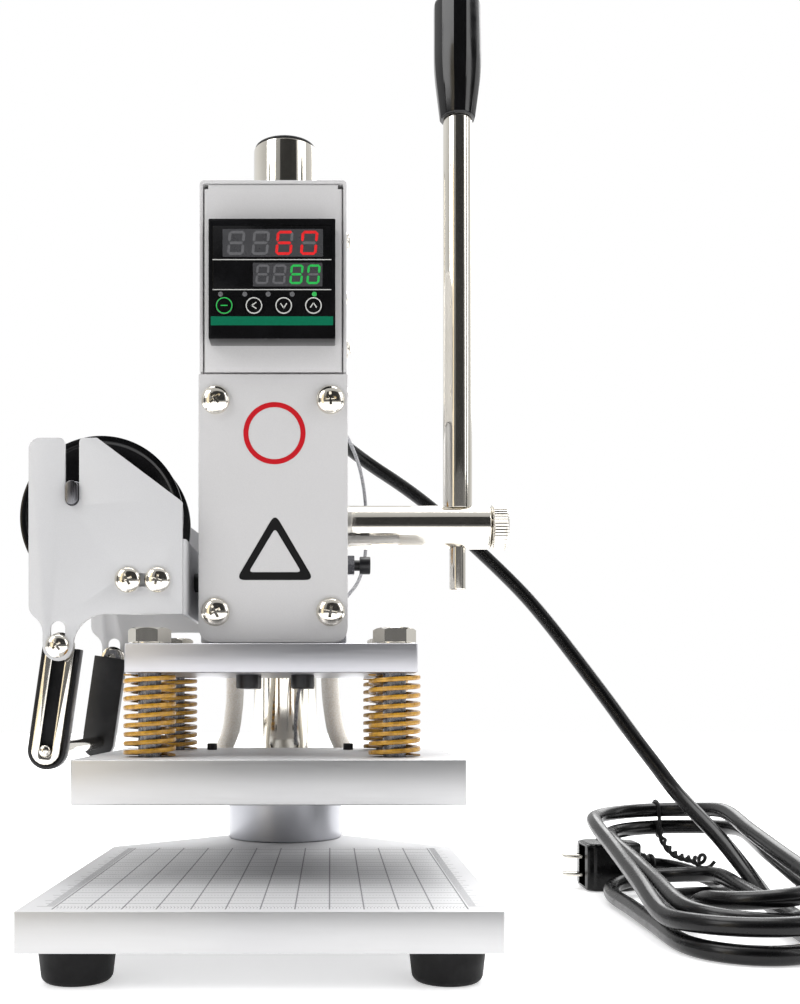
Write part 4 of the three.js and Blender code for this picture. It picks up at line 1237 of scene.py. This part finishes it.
def panel_outline():
    left, right = PANEL_LOW.x, PANEL_HIGH.x
    top, shoulder = PANEL_HIGH.z, -60.8
    half, neck, waist = 2.5, 5.25, 11.5
    ear = ARM_X - neck
    into_slot = [(shoulder, top), (SLOT_X + half, top), (SLOT_X + half, 160)]
    out_of_slot = [(SLOT_X - half, 160), (SLOT_X - half, top), (left + 4, top)]
    return [
        (right, 113.6), (right, 152.4), (-32, 153.2), (shoulder, top),
        *soften(into_slot, 1.8, 5, closed=False)[1:-1],
        *arc(SLOT_X, 151.1 + half, half, 0, -180, 12),
        *soften(out_of_slot, 2.2, 5, closed=False)[1:-1],
        *arc(left + 4, top - 4, 4, 90, 180, 8),
        *curve((left, 116.5), (left, 112), (ear, 112.5), (ear, 107), 8),
        *arc(ARM_X, ARM_Z, neck, 180, 360, 14),
        *arc(ARM_X + neck + waist, ARM_Z - 0.4, waist, 180, 90, 12),
    ]


def slotted(x0, x1, z0, z1, half):
    """A round-ended slot's outline, upright or level."""
    turn = 90 if x0 == x1 else 0
    return arc(x0, z0, half, 90 + turn, 270 + turn) + arc(x1, z1, half, turn - 90, turn + 90)


def foil_panel():
    start, end = PANEL_LOW.y, PANEL_HIGH.y
    holes = [slotted(ARM_X, ARM_X, ARM_Z - 0.4, 108.6, 2.6),
             slotted(*PANEL_SCREW_XS, PANEL_SCREW_Z, PANEL_SCREW_Z, 2.3)]
    tools = [prism("y", outline, start - 1, end + 1) for outline in holes]
    mesh = cut(prism("y", panel_outline(), start, end), *tools)
    round_edges(mesh, 0.22, 2, 40)
    return mesh


def foil_bracket():
    low, high = extent("foil_bracket")
    sheet = 1.5
    web = high.x - sheet
    outline = [(low.x, low.y, 0.3), (high.x, low.y, 2.4), (high.x, high.y, 2.4), (low.x, high.y, 0.3),
               (low.x, high.y - sheet, 0.3), (web, high.y - sheet, 1), (web, low.y + sheet, 1),
               (low.x, low.y + sheet, 0.3)]
    fine("foil_bracket", prism("z", soften(outline, 0, 6), low.z, high.z, 0.2, 2), "white_paint")


def holder_screws():
    ends = (("front", PANEL_LOW.y, FRONT, PANEL_HIGH.y + 1.8, BACK),
            ("rear", REAR_HIGH.y, BACK, REAR_LOW.y - 1.8, FRONT))
    for index, x in enumerate(PANEL_SCREW_XS):
        for side, outside, out, inside, away in ends:
            head, nut = pan_head(4.6, 2.6, 1.9, 6), hex_nut(7, 3, 2)
            screw(f"panel_screw_{side}_{index + 1}", head, (x, outside, PANEL_SCREW_Z), out, "head", "chrome",
                  0.5 + 0.8 * index)
            screw(f"panel_nut_{side}_{index + 1}", nut, (x, inside, PANEL_SCREW_Z), away, "head", "steel")
    for index, y in enumerate((100, 155)):
        spacer = bored("x", 3.5, 2.1, -29.9, -26.2, (y, 127.2), 0.2, 40)
        piece(f"bracket_spacer_{index + 1}", spacer, "matte_black", "head")
        head = pan_head(3.6, 2.3, 1.9, 8)
        screw(f"bracket_screw_{index + 1}", head, (-31.6, y, 127.2), LEFT, "head", "chrome", 0.3)


def foil_spindle():
    low, high = extent("foil_spindle")
    start, end = PANEL_HIGH.y + 0.3, REAR_LOW.y - 0.3
    tongue = slotted(SLOT_X, SLOT_X, 153.6, 157.6, 2.2)
    ends = [prism("y", tongue, low.y, start + 2, 0.3), prism("y", tongue, end - 2, high.y, 0.3)]
    fine("foil_spindle", joined(rod("y", 4.5, start, end, SPINDLE, 0.4, 64), *ends), "steel")


def foil_spool():
    """A hub between two discs, each with a shallow groove in its outer face."""
    start, end = (corner.y for corner in extent("foil_spool"))
    disc, hub, bore, flange, groove = 32, 12.5, 4.8, 2, 0.6
    half = [(bore, 0), (8, 0), (8 + groove, groove), (disc - 3, groove), (disc - 2.4, 0), (disc, 0),
            (disc, flange), (hub, flange)]
    profile = [(radius, start + depth) for radius, depth in half]
    profile += [(radius, end - depth) for radius, depth in half[::-1]]
    fine("foil_spool", lathe("y", soften(profile, 0.3, 2), SPINDLE, 128), "gloss_black")


def leaned(mesh):
    """Arm pieces are drawn upright with their pivot at x = z = 0, then leaned outwards."""
    mesh.transform(LEAN)
    return mesh


def arm_link():
    front = PANEL_LOW.y + 4
    bar = prism("y", slotted(0, 0, -ARM_LENGTH, 0, 5), front, front + 1.5)
    mesh = cut(bar, prism("y", slotted(0, 0, -ARM_LENGTH, 1, 2.2), front - 1, front + 3))
    round_edges(mesh, 0.3, 2, 40)
    return leaned(mesh)


def arm_rail():
    start, end = PANEL_LOW.y + 5.8, PANEL_LOW.y + 11.3
    half, wall = 6.7, 1.4

    def outline(reach, top):
        return [(reach, top), (-reach, top), *arc(0, -ARM_LENGTH, reach, 180, 360, 16)]

    hollow = prism("y", outline(half - wall, 1), start - 1, end - wall)
    mesh = cut(prism("y", outline(half, 0), start, end), hollow)
    round_edges(mesh, 0.25, 2, 40)
    return leaned(mesh)


def arms():
    front = PANEL_LOW.y
    for side, flip in HALVES:
        fine(f"arm_link_{side}", flip(arm_link()), "chrome")
        fine(f"arm_rail_{side}", flip(arm_rail()), "black_steel")
        pivot = turned_to(pan_head(4.2, 2.5, 1.9, 5), (ARM_X, front, ARM_Z), FRONT, 0.7)
        piece(f"arm_screw_{side}", flip(pivot), "chrome", "foil_arms")
        washer = bored("y", 4, 2.1, PANEL_HIGH.y + 0.2, front + 3.9, (ARM_X, ARM_Z), 0.2, 40)
        piece(f"arm_washer_{side}", flip(washer), "steel", "foil_arms")
        nut = turned_to(hex_nut(6.5, 2.6, 1.8), (ARM_X, front + 5.6, ARM_Z), BACK)
        piece(f"arm_nut_{side}", flip(nut), "steel", "foil_arms")
        head = turned_to(pan_head(2.1, 1.3, 1.2, 3), (0, front + 3.7, -ARM_LENGTH), FRONT, 0.4)
        piece(f"rod_screw_{side}", flip(leaned(head)), "chrome", "foil_guide")


def guide_rod():
    low, high = extent("guide_rod")
    start, end, foot = PANEL_LOW.y + 11.4, REAR_HIGH.y - 11.4, (0, -ARM_LENGTH)
    pins = [rod("y", 1.5, low.y, start + 1, foot, 0.3, 32), rod("y", 1.5, end - 1, high.y, foot, 0.3, 32)]
    fine("guide_rod", leaned(joined(rod("y", 2.6, start, end, foot, 0.4, 48), *pins)), "chrome")


def sensor_lead():
    """Thin thermocouple lead: out of the box's back, down beside the column and in under the head."""
    route = [
        (24, 173, 206), (26, 180, 203), (30, 196, 199), (34, 208, 191), (36.3, 214, 180), (37, 215, 165),
        (36.2, 213, 150), (33, 206, 139), (27, 196, 130), (22, 182, 120), (14, 168, 106), (8, 160, 92),
        (6, 152, 78), (6, 146, 66),
    ]
    hanging_lead("sensor_lead", route, 0.8, "sensor_grey")


for side, flip in HALVES:
    fine(f"foil_panel_{side}", flip(foil_panel()), "white_paint")
foil_bracket()
holder_screws()
foil_spindle()
foil_spool()
arms()
guide_rod()
sensor_lead()


# ---------- floor, light ----------
def card(name, corners, material):
    """A four-cornered face that belongs to the set, not to the part."""
    data = bpy.data.meshes.new(name)
    data.from_pydata(corners, [], [(0, 1, 2, 3)])
    data.materials.append(material)
    obj = new_object(name, data)
    return obj


def studio_floor():
    """A pale floor that glows more towards its edges, so that it ends in white."""
    surface = Surface("studio_floor", linear((244, 244, 245)), 0.0, 0.5, Emission_Color=(1, 1, 1, 1))
    surface.vary_roughness(surface.noise(3, detail=1), 0.45, 0.55)
    distance = add_node(surface.tree, "VectorMath", Vector=surface.coords)
    distance.operation = "LENGTH"
    surface.drive("Emission Strength", surface.spread(distance.outputs["Value"], 0.45, 1, 0.3, 1.0))
    reach = 3
    corners = [(-reach, -reach, 0), (reach, -reach, 0), (reach, reach, 0), (-reach, reach, 0)]
    card("floor", corners, surface.material)


def surroundings():
    """White to the camera. The part sees a sky that is brighter behind and above it."""
    world = bpy.data.worlds.new("studio")
    bpy.context.scene.world = world
    world.use_nodes = True
    tree = world.node_tree
    lean = add_node(tree, "VectorMath", Vector=add_node(tree, "TexCoord").outputs["Generated"])
    lean.operation = "DOT_PRODUCT"
    lean.inputs[1].default_value = (0, 0.75, 0.65)
    shift = add_node(tree, "MapRange", Value=lean.outputs["Value"], From_Min=-0.6, From_Max=0.7)
    ramp = add_node(tree, "ValToRGB", Fac=shift.outputs["Result"])
    ramp.color_ramp.elements[0].color = (0.2, 0.2, 0.205, 1)
    ramp.color_ramp.elements[1].color = (1, 1, 1, 1)
    sky = tree.nodes["Background"]
    sky.inputs["Strength"].default_value = 0.85
    tree.links.new(ramp.outputs["Color"], sky.inputs["Color"])
    plain = add_node(tree, "Background", Color=(1, 1, 1, 1))
    mix = add_node(tree, "MixShader", Fac=add_node(tree, "LightPath").outputs["Is Camera Ray"])
    tree.links.new(sky.outputs["Background"], mix.inputs[1])
    tree.links.new(plain.outputs["Background"], mix.inputs[2])
    tree.links.new(mix.outputs["Shader"], tree.nodes["World Output"].inputs["Surface"])


def softbox(name, location, width, height, power):
    """A rectangular lamp that faces the middle of the part."""
    data = bpy.data.lights.new(name, "AREA")
    data.shape = "RECTANGLE"
    data.size, data.size_y = width, height
    data.energy = power
    lamp = new_object(name, data)
    lamp.location = location
    lamp.rotation_euler = (Vector((0, 0, 0.16)) - Vector(location)).to_track_quat("-Z", "Y").to_euler()


def upright_card(name, x, y, width, height, material, bottom=0.0):
    """A card that stands upright, faces the part, and is seen only by polished metal."""
    across = Vector((-y, x, 0)).normalized() * width / 2
    left, right = Vector((x, y, 0)) - across, Vector((x, y, 0)) + across
    foot, top = Vector((0, 0, bottom)), Vector((0, 0, height))
    obj = card(name, [left + foot, right + foot, right + top, left + top], material)
    obj.visible_camera = False
    obj.visible_diffuse = False
    obj.visible_shadow = False
    obj.visible_transmission = False


def card_paint(name, colour):
    surface = Surface(name, linear(colour), 0.0, 0.9)
    return surface.vary_roughness(surface.noise(5), 0.85, 0.95).material


def lights():
    softbox("key_light", (-1.0, -0.65, 1.0), 0.7, 0.9, 9)
    softbox("fill_light", (1.1, -0.35, 0.7), 0.6, 0.9, 5)
    softbox("top_light", (0.0, 0.25, 1.3), 1.0, 0.8, 13)
    softbox("back_light", (0.6, 1.0, 0.8), 0.9, 0.7, 7)
    dark, cream = card_paint("dark_card", (14, 14, 14)), card_paint("cream_card", (226, 212, 184))
    upright_card("dark_card_left", -0.75, -0.35, 0.12, 0.9, dark)
    upright_card("dark_card_right", 0.8, -0.25, 0.16, 0.9, dark)
    upright_card("cream_card_left", -0.62, -0.75, 0.25, 0.9, cream)
    upright_card("dark_card_front", 0.25, -0.95, 1.3, 1.3, dark, 0.26)
    bpy.context.scene.view_settings.view_transform = "Standard"


studio_floor()
surroundings()
lights()
